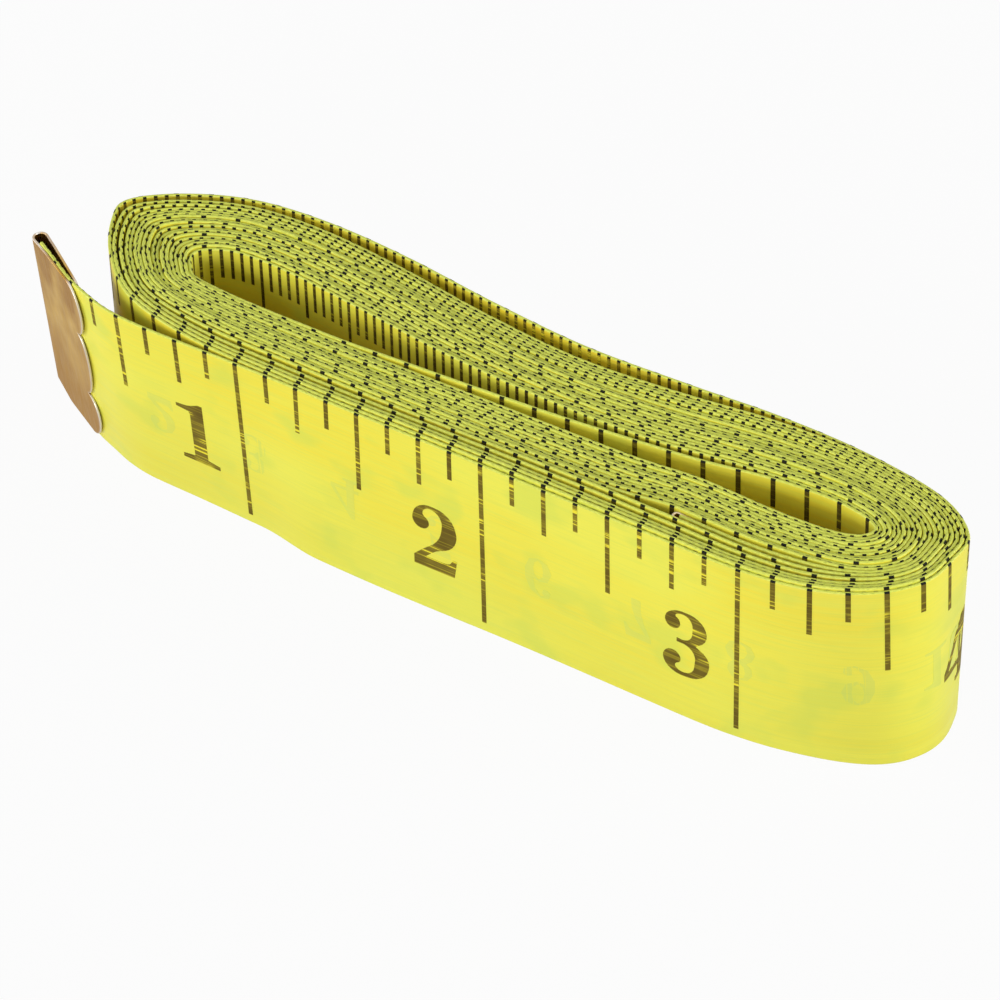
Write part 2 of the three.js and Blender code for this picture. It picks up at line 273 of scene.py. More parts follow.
def winding_points(level, station):
    """Places in the plan, for levels that count the turns outside and stations that count round the coil."""
    outer = loop_points(outer_loop, station)
    inner = loop_points(inner_loop, station)
    depth = np.linalg.norm(inner - outer, axis=1)
    turned = np.mod(station, STATIONS)
    slack = FAR_SLACK * window(turned, *SLACK_STATIONS)
    slack = slack + MIDDLE_SLACK * window(turned, *MIDDLE_SLACK_STATIONS)
    clip_room = inner_clip_thickness + 2 * INNER_CLIP_ROOM + TAPE_THICKNESS

    # Layers past the second clip's level move in by the room that it lacks, and take it from all the gaps
    missing_room = clip_room - 2 * (depth - slack) / CROSSING_LEVEL
    bulge = window(turned, *BULGE_STATIONS) * missing_room / (1 - 2 / CROSSING_LEVEL)
    past = np.clip(level - (OUTER_TURNS - 1), 0, 2) / 2
    spread = (depth - slack - bulge) / CROSSING_LEVEL

    # Some levels stray a little at the left bend and behind the front
    left_levels = range(len(LEFT_LOOSENESS))
    left = np.interp(level, left_levels, LEFT_LOOSENESS) * window(turned, *LEFT_STATIONS)
    front_levels = [*range(len(FRONT_LOOSENESS)), CROSSING_LEVEL]
    front = np.interp(level, front_levels, [*FRONT_LOOSENESS, 0.0]) * (1 - window(turned, *BACK_STATIONS))
    offset = slack * np.minimum(level, 1) + bulge * past + spread * level + left + front
    return outer + (inner - outer) * (offset / depth)[:, None]


front_gap = np.diff(winding_points(np.arange(2.0), np.full(2, 1.0))[:, 1])[0]
print("from the outermost layer to the next, at the front:", round(float(front_gap), 2), "mm")

# %% How the level rises and falls along the two arms


def inward_level(station):
    level = np.zeros_like(station)
    for turn in range(OUTER_TURNS + PAIRED_TURNS):
        since = station - turn * STATIONS
        level += smooth(*SLIP_STATIONS, since)
        if turn >= OUTER_TURNS:
            level += smooth(*CLOSE_UP_STATIONS, since)
    return level


def outward_level(station):
    level = np.full_like(station, CROSSING_LEVEL)
    for turn in range(PAIRED_TURNS):
        since = station + turn * STATIONS
        level -= 1 - smooth(*CLOSE_UP_STATIONS, since)
        level -= 1 - smooth(*SLIP_STATIONS, since + STATIONS)
    return level


print("after one turn the free end's arm is at level", inward_level(np.array([float(STATIONS)]))[0])

# %% [markdown]
# ## The free end
# At the left the free end leaves the coil, bows out a little and bends back into its clip. No loop can give
# this, so its line is a short list of points on the ribbon's centre line, in the frame's own millimetres.
# They were chosen on the photograph. The clip's corner and the tip's angle come first, because the
# ribbon runs straight inside the clip.

# %% The line of the free end
TIP_ANGLE = math.radians(28.04)
CLIP_CORNER = np.array([-45.42, -5.23])
TIP_HEADING = np.array([math.cos(TIP_ANGLE), -math.sin(TIP_ANGLE)])
TIP_INWARD = np.array([math.sin(TIP_ANGLE), math.cos(TIP_ANGLE)])
CLIP_PROUD = 0.1
CLIP_TAPE_GAP = 0.02
TAPE_BEHIND_CORNER = CLIP_SHEET + CLIP_TAPE_GAP + TAPE_THICKNESS / 2 - CLIP_PROUD

# Places on the straight line inside the clip, from beyond the tip to near the clip's mouth
IN_CLIP = (-3.0, 0.0, 3.5, 7.0)

tip_line = CLIP_CORNER + TIP_INWARD * TAPE_BEHIND_CORNER
LEAD_POINTS = np.array(
    [
        *(tip_line + TIP_HEADING * along for along in IN_CLIP),
        (-36.55, -9.2),
        (-34.4, -9.83),
        (-32.0, -10.14),
        (-29.0, -10.21),
        (-25.5, -10.12),
        (-21.5, -10.0),
        (-17.0, -9.93),
        (-12.5, -9.89),
    ]
)
print("the free end's line goes through", len(LEAD_POINTS), "points")

# %% [markdown]
# ## The whole centre line
# The free end, the arm that winds inwards, the strip across the hollow and the arm that winds outwards are
# joined end to end. A Blender curve could carry the line, but the print needs to know exact lengths along
# it. So the line is a row of points at an even spacing, and its length is counted from the printed zero: the
# one inch mark was seen at one place on the front, and everything is measured from there.

# %% Joining the arms
CAD_TAPE_THICKNESS = 0.24
SAMPLES_PER_STATION = 40
CROSSING_END = 11
CROSSING_SHARES = [(0.39, 0.379), (0.478, 0.4), (0.57, 0.433), (0.651, 0.476), (0.721, 0.516), (0.79, 0.572)]
TO_THE_FRONT = (0.5, 1.0, 1.5)

# The coil's right end and its front touch the same planes as the CAD coil's
half_tape = CAD_TAPE_THICKNESS / 2 * np.array([-1, 1])
coil_shift = np.array([cad_high.x / MM - loop_right, cad_low.y / MM]) + half_tape


def level_points(level, stations):
    return winding_points(np.full(len(stations), float(level)), np.array(stations, dtype=float))


def curve_through(points):
    """Close points on the curve through a few. The first and the last only give it its direction."""
    return spline(points, np.arange(1.0, len(points) - 2, 1 / SAMPLES_PER_STATION))


def joined_line():
    lead = curve_through(np.concatenate([LEAD_POINTS, level_points(0, TO_THE_FRONT) + coil_shift]))
    inward = np.arange(1.0, (OUTER_TURNS + PAIRED_TURNS - 1) * STATIONS, 1 / SAMPLES_PER_STATION)
    inner_arm = winding_points(inward_level(inward), inward) + coil_shift
    rim = level_points(CROSSING_LEVEL, (-1, 0, CROSSING_END, CROSSING_END - 1))
    middle = np.array(CROSSING_SHARES) * COIL_SIZE
    crossing = curve_through(np.concatenate([rim[:2], middle, rim[2:]]) + coil_shift)
    end = END_STATION - (PAIRED_TURNS - 1) * STATIONS
    outward = np.arange(CROSSING_END, end, -1 / SAMPLES_PER_STATION)
    outer_arm = winding_points(outward_level(outward), outward) + coil_shift
    return np.concatenate([lead, inner_arm, crossing, outer_arm])


rough_line = joined_line()
print("the joined line has", len(rough_line), "points")

# %% Even spacing, direction and bend
INCH = 25.4
INCH_TICK_X = -19.893
FRONT_SAMPLES = 800
SAMPLE_STEP = 0.1
SAME_PLACE = 1e-6
SOFTEN_OVER = 9


def places_at(length, known_length, known_point):
    return np.stack([np.interp(length, known_length, known_point[:, axis]) for axis in (0, 1)], axis=-1)


def centre_line(line):
    """The ribbon's centre line at an even spacing, from the printed zero at the tip to the second end."""
    step = np.linalg.norm(np.diff(line, axis=0), axis=1)
    line = line[np.concatenate([[True], step > SAME_PLACE])]
    length = np.concatenate([[0], np.cumsum(np.linalg.norm(np.diff(line, axis=0), axis=1))])
    one_inch = np.interp(INCH_TICK_X, line[:FRONT_SAMPLES, 0], length[:FRONT_SAMPLES])
    length = length - (one_inch - INCH)
    even = np.arange(0.0, length[-1], SAMPLE_STEP)
    return even, places_at(even, length, line)


def softened(values):
    """Each value as the average of itself and its neighbours."""
    padded = np.pad(values, SOFTEN_OVER // 2, mode="edge")
    return np.convolve(padded, np.ones(SOFTEN_OVER) / SOFTEN_OVER, mode="valid")


line_length, line_point = centre_line(rough_line)
TAPE_LENGTH = line_length[-1]
line_turn = softened(np.unwrap(np.arctan2(np.gradient(line_point[:, 1]), np.gradient(line_point[:, 0]))))
line_bend = softened(np.abs(np.gradient(line_turn, SAMPLE_STEP)))
print(f"the ribbon is {TAPE_LENGTH:.1f} mm long from its printed zero")

# %% [markdown]
# ## The lean of the ribbon
# A ribbon on edge doesn't stand quite upright. Towards the tip, its lower edge lies behind its upper edge.
# Along the front and round to the middle of the right bend it spreads outwards a little, and past that it
# draws inwards. Some turns also stand a little higher than others. Turning each piece by hand would open
# cracks between them. So the lean is a smooth shift of the lower edge, and the lift is a slow wave along
# the whole length.

# %% How much the ribbon leans and lifts, in millimetres

# Towards the left of the front the lean grows in two parts, and behind the left bend it fades again
LEAN_RISE = ((-12.0, -19.0), (-18.0, -31.0))
LEAN_PARTS = (0.85, 0.4)
LEAN_FADE_X = (-31.0, -38.0)
LEAN_FADE_Y = (-3.5, 0.5)
TIP_LEAN = 1.6

# The lengths from the tip over which the tip's lean fades, the coil's lean takes over and the lift begins
TIP_LEAN_LENGTHS = (9.0, 15.0)
COIL_LEAN_LENGTHS = (34.0, 60.0)
LIFT_LENGTHS = (60.0, 160.0)

# The middle of each place where the lower edge is shifted, how far the place reaches, and the shift
FOOT_SHIFTS = (
    ((43.6, -5.0), 9.5, (0.86, -0.46)),
    ((44.9, 5.5), 7.0, (-0.85, -0.35)),
    ((45.3, 0.8), 5.0, (0.3, 0.2)),
    ((24.0, -9.9), 20.0, (0.0, -0.37)),
    ((-4.0, -9.9), 24.0, (0.0, -0.43)),
)

# The height, the length and the start of each wave
LIFT_SWINGS = ((0.07, 61.0, 0.4), (0.05, 143.0, 2.1), (0.05, 37.0, 4.4))
print("shifts of the lower edge:", len(FOOT_SHIFTS), "and waves in the lift:", len(LIFT_SWINGS))

# %% Lean and lift along the ribbon


def lean_at(length, point):
    """How far the lower edge lies from the upper edge, as a vector in the plan."""
    x, y = point[:, 0], point[:, 1]
    front = sum(size * smooth(start, end, x) for size, (start, end) in zip(LEAN_PARTS, LEAN_RISE))
    in_coil = front * (1 - smooth(*LEAN_FADE_X, x)) * (1 - smooth(*LEAN_FADE_Y, y))
    near_tip = 1 - smooth(*TIP_LEAN_LENGTHS, length)
    coil_share = smooth(*COIL_LEAN_LENGTHS, length)
    free = front * (1 - near_tip) + TIP_LEAN * near_tip
    size = free * (1 - coil_share) + in_coil * coil_share
    turn = np.interp(length, line_length, line_turn) * (1 - coil_share)
    across = np.stack([-np.sin(turn), np.cos(turn)], axis=1)
    along = np.stack([np.cos(turn), np.sin(turn)], axis=1)
    lean = across * size[:, None] + along * (size * turn)[:, None]
    for centre, reach, shift in FOOT_SHIFTS:
        near = 1 - smooth(0.0, reach, np.linalg.norm(point - centre, axis=1))
        lean = lean + near[:, None] * np.array(shift)
    return lean


def lift_at(length):
    """How much higher than the table the ribbon stands at these lengths."""
    lift = sum(size * (1 + np.sin(length / period * math.tau + start)) for size, period, start in LIFT_SWINGS)
    return lift * smooth(*LIFT_LENGTHS, length)


widest_lean = np.linalg.norm(lean_at(line_length, line_point), axis=1).max()
highest_lift = lift_at(line_length).max()
print(f"the lean is up to {widest_lean:.2f} mm and the lift up to {highest_lift:.2f} mm")

# %% [markdown]
# ## Winding a flat piece
# Every piece of ribbon and print is modelled flat: x is the length along the tape, y the height across it
# and z the distance from its middle, with the inch side up. This function bends the flat space round the
# centre line. A curve modifier could bend the ribbon too, but it stretches thick pieces and can't lean them.
# Because ribbon and print go through the same bend, the print stays on the ribbon. The ribbon's lower corner
# is trimmed inside the outer clip, so that it doesn't stick out of the fold.

# %% The bend from flat to wound
CORNER_TRIM = 0.65
CORNER_TRIM_LENGTH = 1.5


def wind(flat):
    """Moves flat points (length, height, distance), in millimetres, to their wound places in metres."""
    length, height, distance = flat[:, 0], flat[:, 1], flat[:, 2]
    height = np.maximum(height, CORNER_TRIM * (1 - length / CORNER_TRIM_LENGTH))
    point = places_at(length, line_length, line_point)
    turn = np.interp(length, line_length, line_turn)
    before = np.minimum(length, 0.0)
    point[:, 0] += before * np.cos(turn)
    point[:, 1] += before * np.sin(turn)
    outward = np.stack([np.sin(turn), -np.cos(turn)], axis=1)
    share = 1 - height / TAPE_WIDTH
    plan = point + outward * distance[:, None] + lean_at(length, point) * share[:, None]
    return np.column_stack([plan, height + lift_at(length)]) * MM


def wind_bmesh(bm):
    flat = np.array([vert.co for vert in bm.verts])
    for vert, place in zip(bm.verts, wind(flat)):
        vert.co = place


one_inch_top = wind(np.array([[INCH, TAPE_WIDTH, TAPE_THICKNESS / 2]]))[0]
print("the one inch mark's top is at", [round(float(value) / MM, 2) for value in one_inch_top])

# %% [markdown]
# ## Rows of points
# A flat piece bends only where it has points. Rows at one even spacing would be too many for the long
# straight runs, or too few for the tight bends. So the step from row to row follows the bend: the flat
# facet between two rows may stray from the true curve by a few thousandths of a millimetre.

# %% Where the ribbon needs a row of points
FACET_ERROR = 0.0035
LONGEST_STEP = 1.0
LONGEST_LEANING_STEP = 0.5
LEANING_UNTIL = 130.0
SHORTEST_STEP = 0.28
STRAIGHTEST_BEND = 1e-6


def rows_between(start, end, facet_error, longest_step):
    """Lengths for the cross rows, closer together where the ribbon bends."""
    rows = [start]
    while rows[-1] < end - SAME_PLACE:
        bend = max(np.interp(rows[-1], line_length, line_bend), STRAIGHTEST_BEND)
        longest = LONGEST_LEANING_STEP if rows[-1] < LEANING_UNTIL else longest_step
        step = min(max(math.sqrt(8 * facet_error / bend), SHORTEST_STEP), longest)
        rows.append(rows[-1] + step)
    rows[-1] = end
    if len(rows) > 2 and rows[-1] - rows[-2] < SHORTEST_STEP / 2:
        rows.pop(-2)
    return np.array(rows)


print("rows on the whole ribbon:", len(rows_between(0.0, TAPE_LENGTH, FACET_ERROR, LONGEST_STEP)))

# %% [markdown]
# ## Small helpers for pieces
# A finished piece sits at the origin with its place in its points. Sharp edges are marked by their angle, so
# that the rounded edges of the cloth shade softly and the cut ends stay crisp. Some steps, such as a long
# row of copies, are quickest with a modifier, so one helper runs a modifier on a bmesh and gives back a new
# bmesh.

# %% Making objects
SHARP_ANGLE = math.radians(50)


def freed_mesh(name, bm):
    """The bmesh as a mesh. The bmesh is freed."""
    mesh = bpy.data.meshes.new(name)
    bm.to_mesh(mesh)
    bm.free()
    return mesh


def new_object(name, bm, materials, sharp=SHARP_ANGLE):
    for edge in bm.edges:
        edge.smooth = len(edge.link_faces) == 2 and edge.calc_face_angle(0.0) < sharp
    for face in bm.faces:
        face.smooth = True
    mesh = freed_mesh(name, bm)
    for material in materials:
        mesh.materials.append(material)
    return linked(name, mesh)


def finished_by(bm, kind, settings):
    """The mesh after one modifier, as a new bmesh."""
    mesh = freed_mesh("rough", bm)
    obj = linked("rough", mesh)
    modifier = obj.modifiers.new("step", kind)
    for key, value in settings.items():
        setattr(modifier, key, value)
    finished = bpy.data.meshes.new_from_object(obj.evaluated_get(bpy.context.evaluated_depsgraph_get()))
    made = bmesh.new()
    made.from_mesh(finished)
    bpy.data.objects.remove(obj)
    bpy.data.meshes.remove(mesh)
    bpy.data.meshes.remove(finished)
    return made


print("edges that bend by more than", round(math.degrees(SHARP_ANGLE)), "degrees stay sharp")

# %% [markdown]
# ## A map of the flat tape
# The cloth's threads run along the ribbon wherever it is wound. A pattern on the object's own coordinates
# would cut straight through the turns. So each piece keeps its flat place, in metres, as its UV map before
# it is wound. The inch side has heights above nought and the other side has them below. The cut edges lie
# apart from both, so that a material can tell them by their place.

# %% Writing the flat place as a UV map
EDGE_PLACE = 2 * TAPE_WIDTH
EDGE_SEEN_FROM = (TAPE_WIDTH + EDGE_PLACE) / 2 * MM


def flat_uv(bm, edge_slope):
    """The slope says how far a face may tilt up or down and still belong to one of the two sides."""
    layer = bm.loops.layers.uv.new("cloth")
    for face in bm.faces:
        normal = face.normal
        side = 1 if normal.z > 0 else -1
        for loop in face.loops:
            length, height, distance = loop.vert.co
            on_side = abs(normal.y) <= abs(normal.z) * edge_slope
            across = height * side if on_side else EDGE_PLACE + distance
            loop[layer].uv = (length * MM, across * MM)


print("in the map the cut edges start at", round(EDGE_SEEN_FROM, 4), "m across")

# %% [markdown]
# ## The materials
# Materials are built from nodes here, as in the shader editor, so a few helpers keep them short. Colours and
# numbers that are the same all over are set on the shader's own sockets. What changes over the surface comes
# from noise that is stretched along the ribbon, because photographs of cloth would repeat and blur.

# %% Node helpers


def found_node(tree, kind):
    return next(node for node in tree.nodes if node.type == kind)


def new_material(name, finish):
    """A material, with the finish as a table of the shader's sockets and their values."""
    material = bpy.data.materials.new(name)
    material.use_nodes = True
    tree = material.node_tree
    shader = found_node(tree, "BSDF_PRINCIPLED")
    for socket_name, value in finish.items():
        shader.inputs[socket_name].default_value = value
    return material, tree, shader


def add_node(tree, kind, **settings):
    node = tree.nodes.new(kind)
    for key, value in settings.items():
        if key in node.inputs:
            node.inputs[key].default_value = value
        else:
            setattr(node, key, value)
    return node


print("helpers for materials and nodes are defined")

# %% Feeding sockets


def feed(tree, socket, value):
    """Links another node's output to the socket, or sets it to a colour or a number."""
    if isinstance(value, bpy.types.NodeSocket):
        tree.links.new(value, socket)
    elif isinstance(value, tuple):
        socket.default_value = (*value, 1.0)
    else:
        socket.default_value = value


def computed(tree, operation, *values):
    node = add_node(tree, "ShaderNodeMath", operation=operation)
    for socket, value in zip(node.inputs, values):
        feed(tree, socket, value)
    return node.outputs[0]


print("helpers for sockets and sums are defined")

# %% Noise, ramps and mixes


def stretched_noise(tree, source, scale, detail=2.0, rough=0.5):
    """Noise on a stretched copy of the coordinates: a large and a small scale make streaks."""
    mapping = add_node(tree, "ShaderNodeMapping")
    mapping.inputs["Scale"].default_value = scale
    tree.links.new(source, mapping.inputs["Vector"])
    noise = add_node(tree, "ShaderNodeTexNoise", Scale=1.0, Detail=detail, Roughness=rough)
    tree.links.new(mapping.outputs["Vector"], noise.inputs["Vector"])
    return noise.outputs["Fac"]


def noises(tree, source, table):
    """One noise for each row of a table of scales, details and roughnesses."""
    return [stretched_noise(tree, source, *settings) for settings in table.values()]


def ramp(tree, source, low, high, low_value=0.0, high_value=1.0):
    node = add_node(tree, "ShaderNodeMapRange")
    node.inputs["From Min"].default_value = low
    node.inputs["From Max"].default_value = high
    node.inputs["To Min"].default_value = low_value
    node.inputs["To Max"].default_value = high_value
    tree.links.new(source, node.inputs["Value"])
    return node.outputs["Result"]


def mix_colour(tree, share, first, second):
    node = add_node(tree, "ShaderNodeMix", data_type="RGBA")
    for socket, value in ((node.inputs[0], share), (node.inputs[6], first), (node.inputs[7], second)):
        feed(tree, socket, value)
    return node.outputs[2]


def tinted(tree, colour, tints):
    """The colour with one tint after another mixed in, each by its own share."""
    for share, tint in tints:
        colour = mix_colour(tree, share, colour, tint)
    return colour


def bump(tree, shader, height, distance, strength):
    node = add_node(tree, "ShaderNodeBump", Strength=strength, Distance=distance)
    tree.links.new(height, node.inputs["Height"])
    tree.links.new(node.outputs["Normal"], shader.inputs["Normal"])


print("helpers for noise, ramps, mixes and bumps are defined")

# %% Where a point lies on the flat tape


def tape_places(tree):
    """The flat tape's map, with the place along the ribbon and the place across it."""
    uv = add_node(tree, "ShaderNodeUVMap", uv_map="cloth").outputs["UV"]
    parts = add_node(tree, "ShaderNodeSeparateXYZ")
    tree.links.new(uv, parts.inputs["Vector"])
    return uv, parts.outputs["X"], parts.outputs["Y"]


def on_cut_edge(tree, across):
    """One on the ribbon's cut edges and zero on its sides."""
    return ramp(tree, across, EDGE_SEEN_FROM, EDGE_SEEN_FROM + MM)


print("helpers for the places on the tape are defined")

# %% [markdown]
# ## The coated cloth
# The cloth is yellow, with a satin coating through which the threads show as fine lines along the tape. Its
# colour wanders between two yellows, with faint green clouds. Its foot is mixed towards green: painted
# shade. Deep in the winding the lower part is painted golden, as painted shade of light that arrives only
# after many bounces between yellow walls. So is the inner side of the outermost turn. Bounces alone give
# this too weakly, so the painted golden shade stands in for them. The cut edges are paler and rough. Where
# print of the other side shows through, a second copy of the material has a share of its colour.

# %% The cloth's colours and patterns
CLOTH_YELLOW = (0.86, 0.74, 0.045)
CLOTH_LEMON = (0.84, 0.80, 0.075)
CLOTH_GREEN = (0.62, 0.70, 0.08)
# Painted shade: the golden colour that light takes after many bounces between the turns
PAINTED_SHADE_GOLD = (0.78, 0.53, 0.01)
PRINT_BEHIND = (0.50, 0.64, 0.14)
CUT_EDGE = (0.86, 0.92, 0.14)
CUT_EDGE_DARK = (0.60, 0.67, 0.07)
CLOTH_FINISH = {"Specular IOR Level": 0.5}

# Each noise has its scales along the tape, across it and through it, then its detail and its roughness
CLOTH_NOISES = {
    "threads": ((160.0, 5200.0, 1.0), 3.0),
    "bands": ((25.0, 1500.0, 1.0), 3.0),
    "clouds": ((150.0, 190.0, 1.0), 2.0),
    "broad": ((35.0, 90.0, 1.0), 2.0),
    "fuzz": ((2500.0, 9000.0, 1.0), 3.0, 0.7),
}

# Each ramp goes from one value to another and gives nought to one, or its third value to its fourth
INNER_TURNS = (195 * MM, 215 * MM)
BROAD_RAMP = (0.4, 0.6)
# Painted shade: the foot is mixed towards green
PAINTED_FOOT_SHADE_RAMP = (0.011, 0.002, 0.0, 0.3)
# Where the painted golden shade lies: low on the inner turns, and on the outermost turn's inner side
DEEP_PAINTED_SHADE_RAMP = (0.0185, 0.012, 0.0, 0.85)
OTHER_SIDE_RAMP = (0.0, -MM, 0.0, 0.6)
INSIDE_PAINTED_SHADE_RAMP = (95 * MM, 110 * MM)
BAND_RAMP = (0.42, 0.62, 0.0, 0.4)
CLOUD_RAMP = (0.54, 0.66, 0.0, 0.5)
THREAD_RAMP = (0.3, 0.55, 0.3, 0.0)
FUZZ_RAMP = (0.35, 0.6)
CLOTH_GLOSS_RAMP = (0.3, 0.7, 0.4, 0.55)
THREAD_DEPTH = 0.00003
THREAD_STRENGTH = 0.5
print("noises in the cloth:", list(CLOTH_NOISES))

# %% The cloth material


def cloth_material(name, print_behind):
    """The cloth, with a share of the colour that print on its other side gives it."""
    material, tree, shader = new_material(name, CLOTH_FINISH)
    uv, along, across = tape_places(tree)
    threads, bands, clouds, broad, fuzz = noises(tree, uv, CLOTH_NOISES)
    height = computed(tree, "ABSOLUTE", across)
    deep = ramp(tree, along, *INNER_TURNS)
    outermost = ramp(tree, along, *INNER_TURNS, 1.0, 0.0)
    deep_painted_shade = computed(tree, "MULTIPLY", deep, ramp(tree, height, *DEEP_PAINTED_SHADE_RAMP))
    other_side = ramp(tree, across, *OTHER_SIDE_RAMP)
    inside = computed(tree, "MULTIPLY", other_side, ramp(tree, along, *INSIDE_PAINTED_SHADE_RAMP))
    edge_colour = mix_colour(tree, ramp(tree, fuzz, *FUZZ_RAMP), CUT_EDGE_DARK, CUT_EDGE)
    tints = [
        # Painted shade at the foot
        (ramp(tree, height, *PAINTED_FOOT_SHADE_RAMP), CLOTH_GREEN),
        # Painted shade: golden deep in the winding and inside the outermost turn
        (deep_painted_shade, PAINTED_SHADE_GOLD),
        (computed(tree, "MULTIPLY", inside, outermost), PAINTED_SHADE_GOLD),
        (ramp(tree, bands, *BAND_RAMP), CLOTH_LEMON),
        (ramp(tree, clouds, *CLOUD_RAMP), CLOTH_GREEN),
        (ramp(tree, threads, *THREAD_RAMP), CLOTH_GREEN),
        (on_cut_edge(tree, across), edge_colour),
        (print_behind, PRINT_BEHIND),
    ]
    plain = mix_colour(tree, ramp(tree, broad, *BROAD_RAMP), CLOTH_YELLOW, CLOTH_LEMON)
    feed(tree, shader.inputs["Base Color"], tinted(tree, plain, tints))
    feed(tree, shader.inputs["Roughness"], ramp(tree, threads, *CLOTH_GLOSS_RAMP))
    bump(tree, shader, threads, THREAD_DEPTH, THREAD_STRENGTH)
    return material


cloth = cloth_material("coated_cloth", 0.0)
shown_through = cloth_material("print_shown_through", 0.3)
print("cloth materials:", cloth.name, "and", shown_through.name)

# %% [markdown]
# ## The printed ink
# The print is dark brown ink that has worn off in narrow lines along the threads. On the inner turns it is
# painted darker, as painted shade of the hollow. A single dark colour would look like a sticker. So two
# browns wander over each other, and the cloth's yellow comes through where the ink has worn.

# %% The ink's colours and its material
INK_BROWN = (0.12, 0.08, 0.008)
INK_OLIVE = (0.20, 0.15, 0.018)
INK_BLACK = (0.008, 0.009, 0.004)
INK_FINISH = {"Roughness": 0.6, "Specular IOR Level": 0.12}
INK_NOISES = {
    "threads": ((60.0, 4200.0, 1.0), 2.0),
    "patches": ((260.0, 260.0, 1.0), 2.0),
    "lines": ((25.0, 3200.0, 1.0), 1.0),
}
BROWN_RAMP = (0.35, 0.65)
WORN_LINE_RAMP = (0.57, 0.61)
WORN_PATCH_RAMP = (0.47, 0.58)
INK_THREAD_RAMP = (0.5, 0.7, 0.0, 0.3)
# Painted shade: how much darker the ink is on the inner turns
INNER_PAINTED_SHADE_SHARE = 0.55
INK_THREAD_DEPTH = 0.00001
INK_THREAD_STRENGTH = 0.3


def ink_material():
    material, tree, shader = new_material("printed_ink", INK_FINISH)
    uv, along, across = tape_places(tree)
    threads, patches, lines = noises(tree, uv, INK_NOISES)
    worn_lines = ramp(tree, lines, *WORN_LINE_RAMP)
    tints = [
        (ramp(tree, threads, *INK_THREAD_RAMP), CLOTH_YELLOW),
        (computed(tree, "MULTIPLY", worn_lines, ramp(tree, patches, *WORN_PATCH_RAMP)), CLOTH_YELLOW),
        # Painted shade: darker ink on the inner turns
        (ramp(tree, along, *INNER_TURNS, 0.0, INNER_PAINTED_SHADE_SHARE), INK_BLACK),
        (on_cut_edge(tree, across), INK_BLACK),
    ]
    brown = mix_colour(tree, ramp(tree, patches, *BROWN_RAMP), INK_BROWN, INK_OLIVE)
    feed(tree, shader.inputs["Base Color"], tinted(tree, brown, tints))
    bump(tree, shader, threads, INK_THREAD_DEPTH, INK_THREAD_STRENGTH)
    return material


ink = ink_material()
print("ink material:", ink.name)

# %% [markdown]
# ## The brass sheet
# The clips are thin brass-coloured sheet. It was brushed along its height, it is stained in patches, warmer
# towards its foot, and its edges carry a painted highlight in a pale steel colour. The patterns read the
# object's own coordinates, because the sheet is too small for a map to matter. The painted edge highlight
# comes from Pointiness, which is higher where a surface bulges.

# %% The brass and its material
BRASS_WARM = (0.34, 0.16, 0.01)
BRASS_PALE = (0.67, 0.46, 0.13)
# Painted highlight: the pale steel colour on the sheet's edges
PAINTED_EDGE_HIGHLIGHT = (0.72, 0.69, 0.64)
BRASS_FINISH = {"Metallic": 1.0, "Specular Tint": (1.0, 0.95, 0.85, 1.0)}
BRASS_NOISES = {
    "brushed": ((5200.0, 5200.0, 160.0), 3.0),
    "stain": ((210.0, 210.0, 120.0), 3.0, 0.6),
    "scratches": ((900.0, 900.0, 2600.0), 1.0),
}
STAIN_RAMP = (0.35, 0.68)
BRUSHED_RAMP = (0.35, 0.65, 0.25, 0.0)
BRASS_FOOT_RAMP = (0.012, 0.003, 0.0, 0.9)
EDGE_HIGHLIGHT_RAMP = (0.52, 0.56)
BRASS_GLOSS_RAMP = (0.3, 0.7, 0.34, 0.5)
SCRATCH_RAMP = (0.3, 0.34, 0.7, 1.0)
BRUSHED_DEPTH = 0.00002
BRUSHED_STRENGTH = 0.35


def brass_material():
    material, tree, shader = new_material("brass_sheet", BRASS_FINISH)
    place = add_node(tree, "ShaderNodeTexCoord").outputs["Object"]
    brushed, stain, scratches = noises(tree, place, BRASS_NOISES)
    parts = add_node(tree, "ShaderNodeSeparateXYZ")
    tree.links.new(place, parts.inputs["Vector"])
    edge = add_node(tree, "ShaderNodeNewGeometry").outputs["Pointiness"]
    tints = [
        (ramp(tree, brushed, *BRUSHED_RAMP), BRASS_WARM),
        (ramp(tree, parts.outputs["Z"], *BRASS_FOOT_RAMP), BRASS_WARM),
        # Painted highlight on the bulging edges
        (ramp(tree, edge, *EDGE_HIGHLIGHT_RAMP), PAINTED_EDGE_HIGHLIGHT),
    ]
    stained = mix_colour(tree, ramp(tree, stain, *STAIN_RAMP), BRASS_WARM, BRASS_PALE)
    feed(tree, shader.inputs["Base Color"], tinted(tree, stained, tints))
    feed(tree, shader.inputs["Roughness"], ramp(tree, brushed, *BRASS_GLOSS_RAMP))
    relief = computed(tree, "MULTIPLY", brushed, ramp(tree, scratches, *SCRATCH_RAMP))
    bump(tree, shader, relief, BRUSHED_DEPTH, BRUSHED_STRENGTH)
    return material


brass = brass_material()
print("brass material:", brass.name)

# %% [markdown]
# ## The ribbon
# The ribbon's section is a thin bar with soft edges: a grid of one face, with its four corners bevelled. It
# could be extruded row by row, which is slow for thousands of rows. A Screw modifier without a turn copies
# the outline forward in one go, one step for each row. The rows are then spread to their real lengths, the
# two ends are closed, and the whole is wound.

# %% The ribbon's section
EDGE_RADIUS = 0.17
EDGE_SEGMENTS = 3


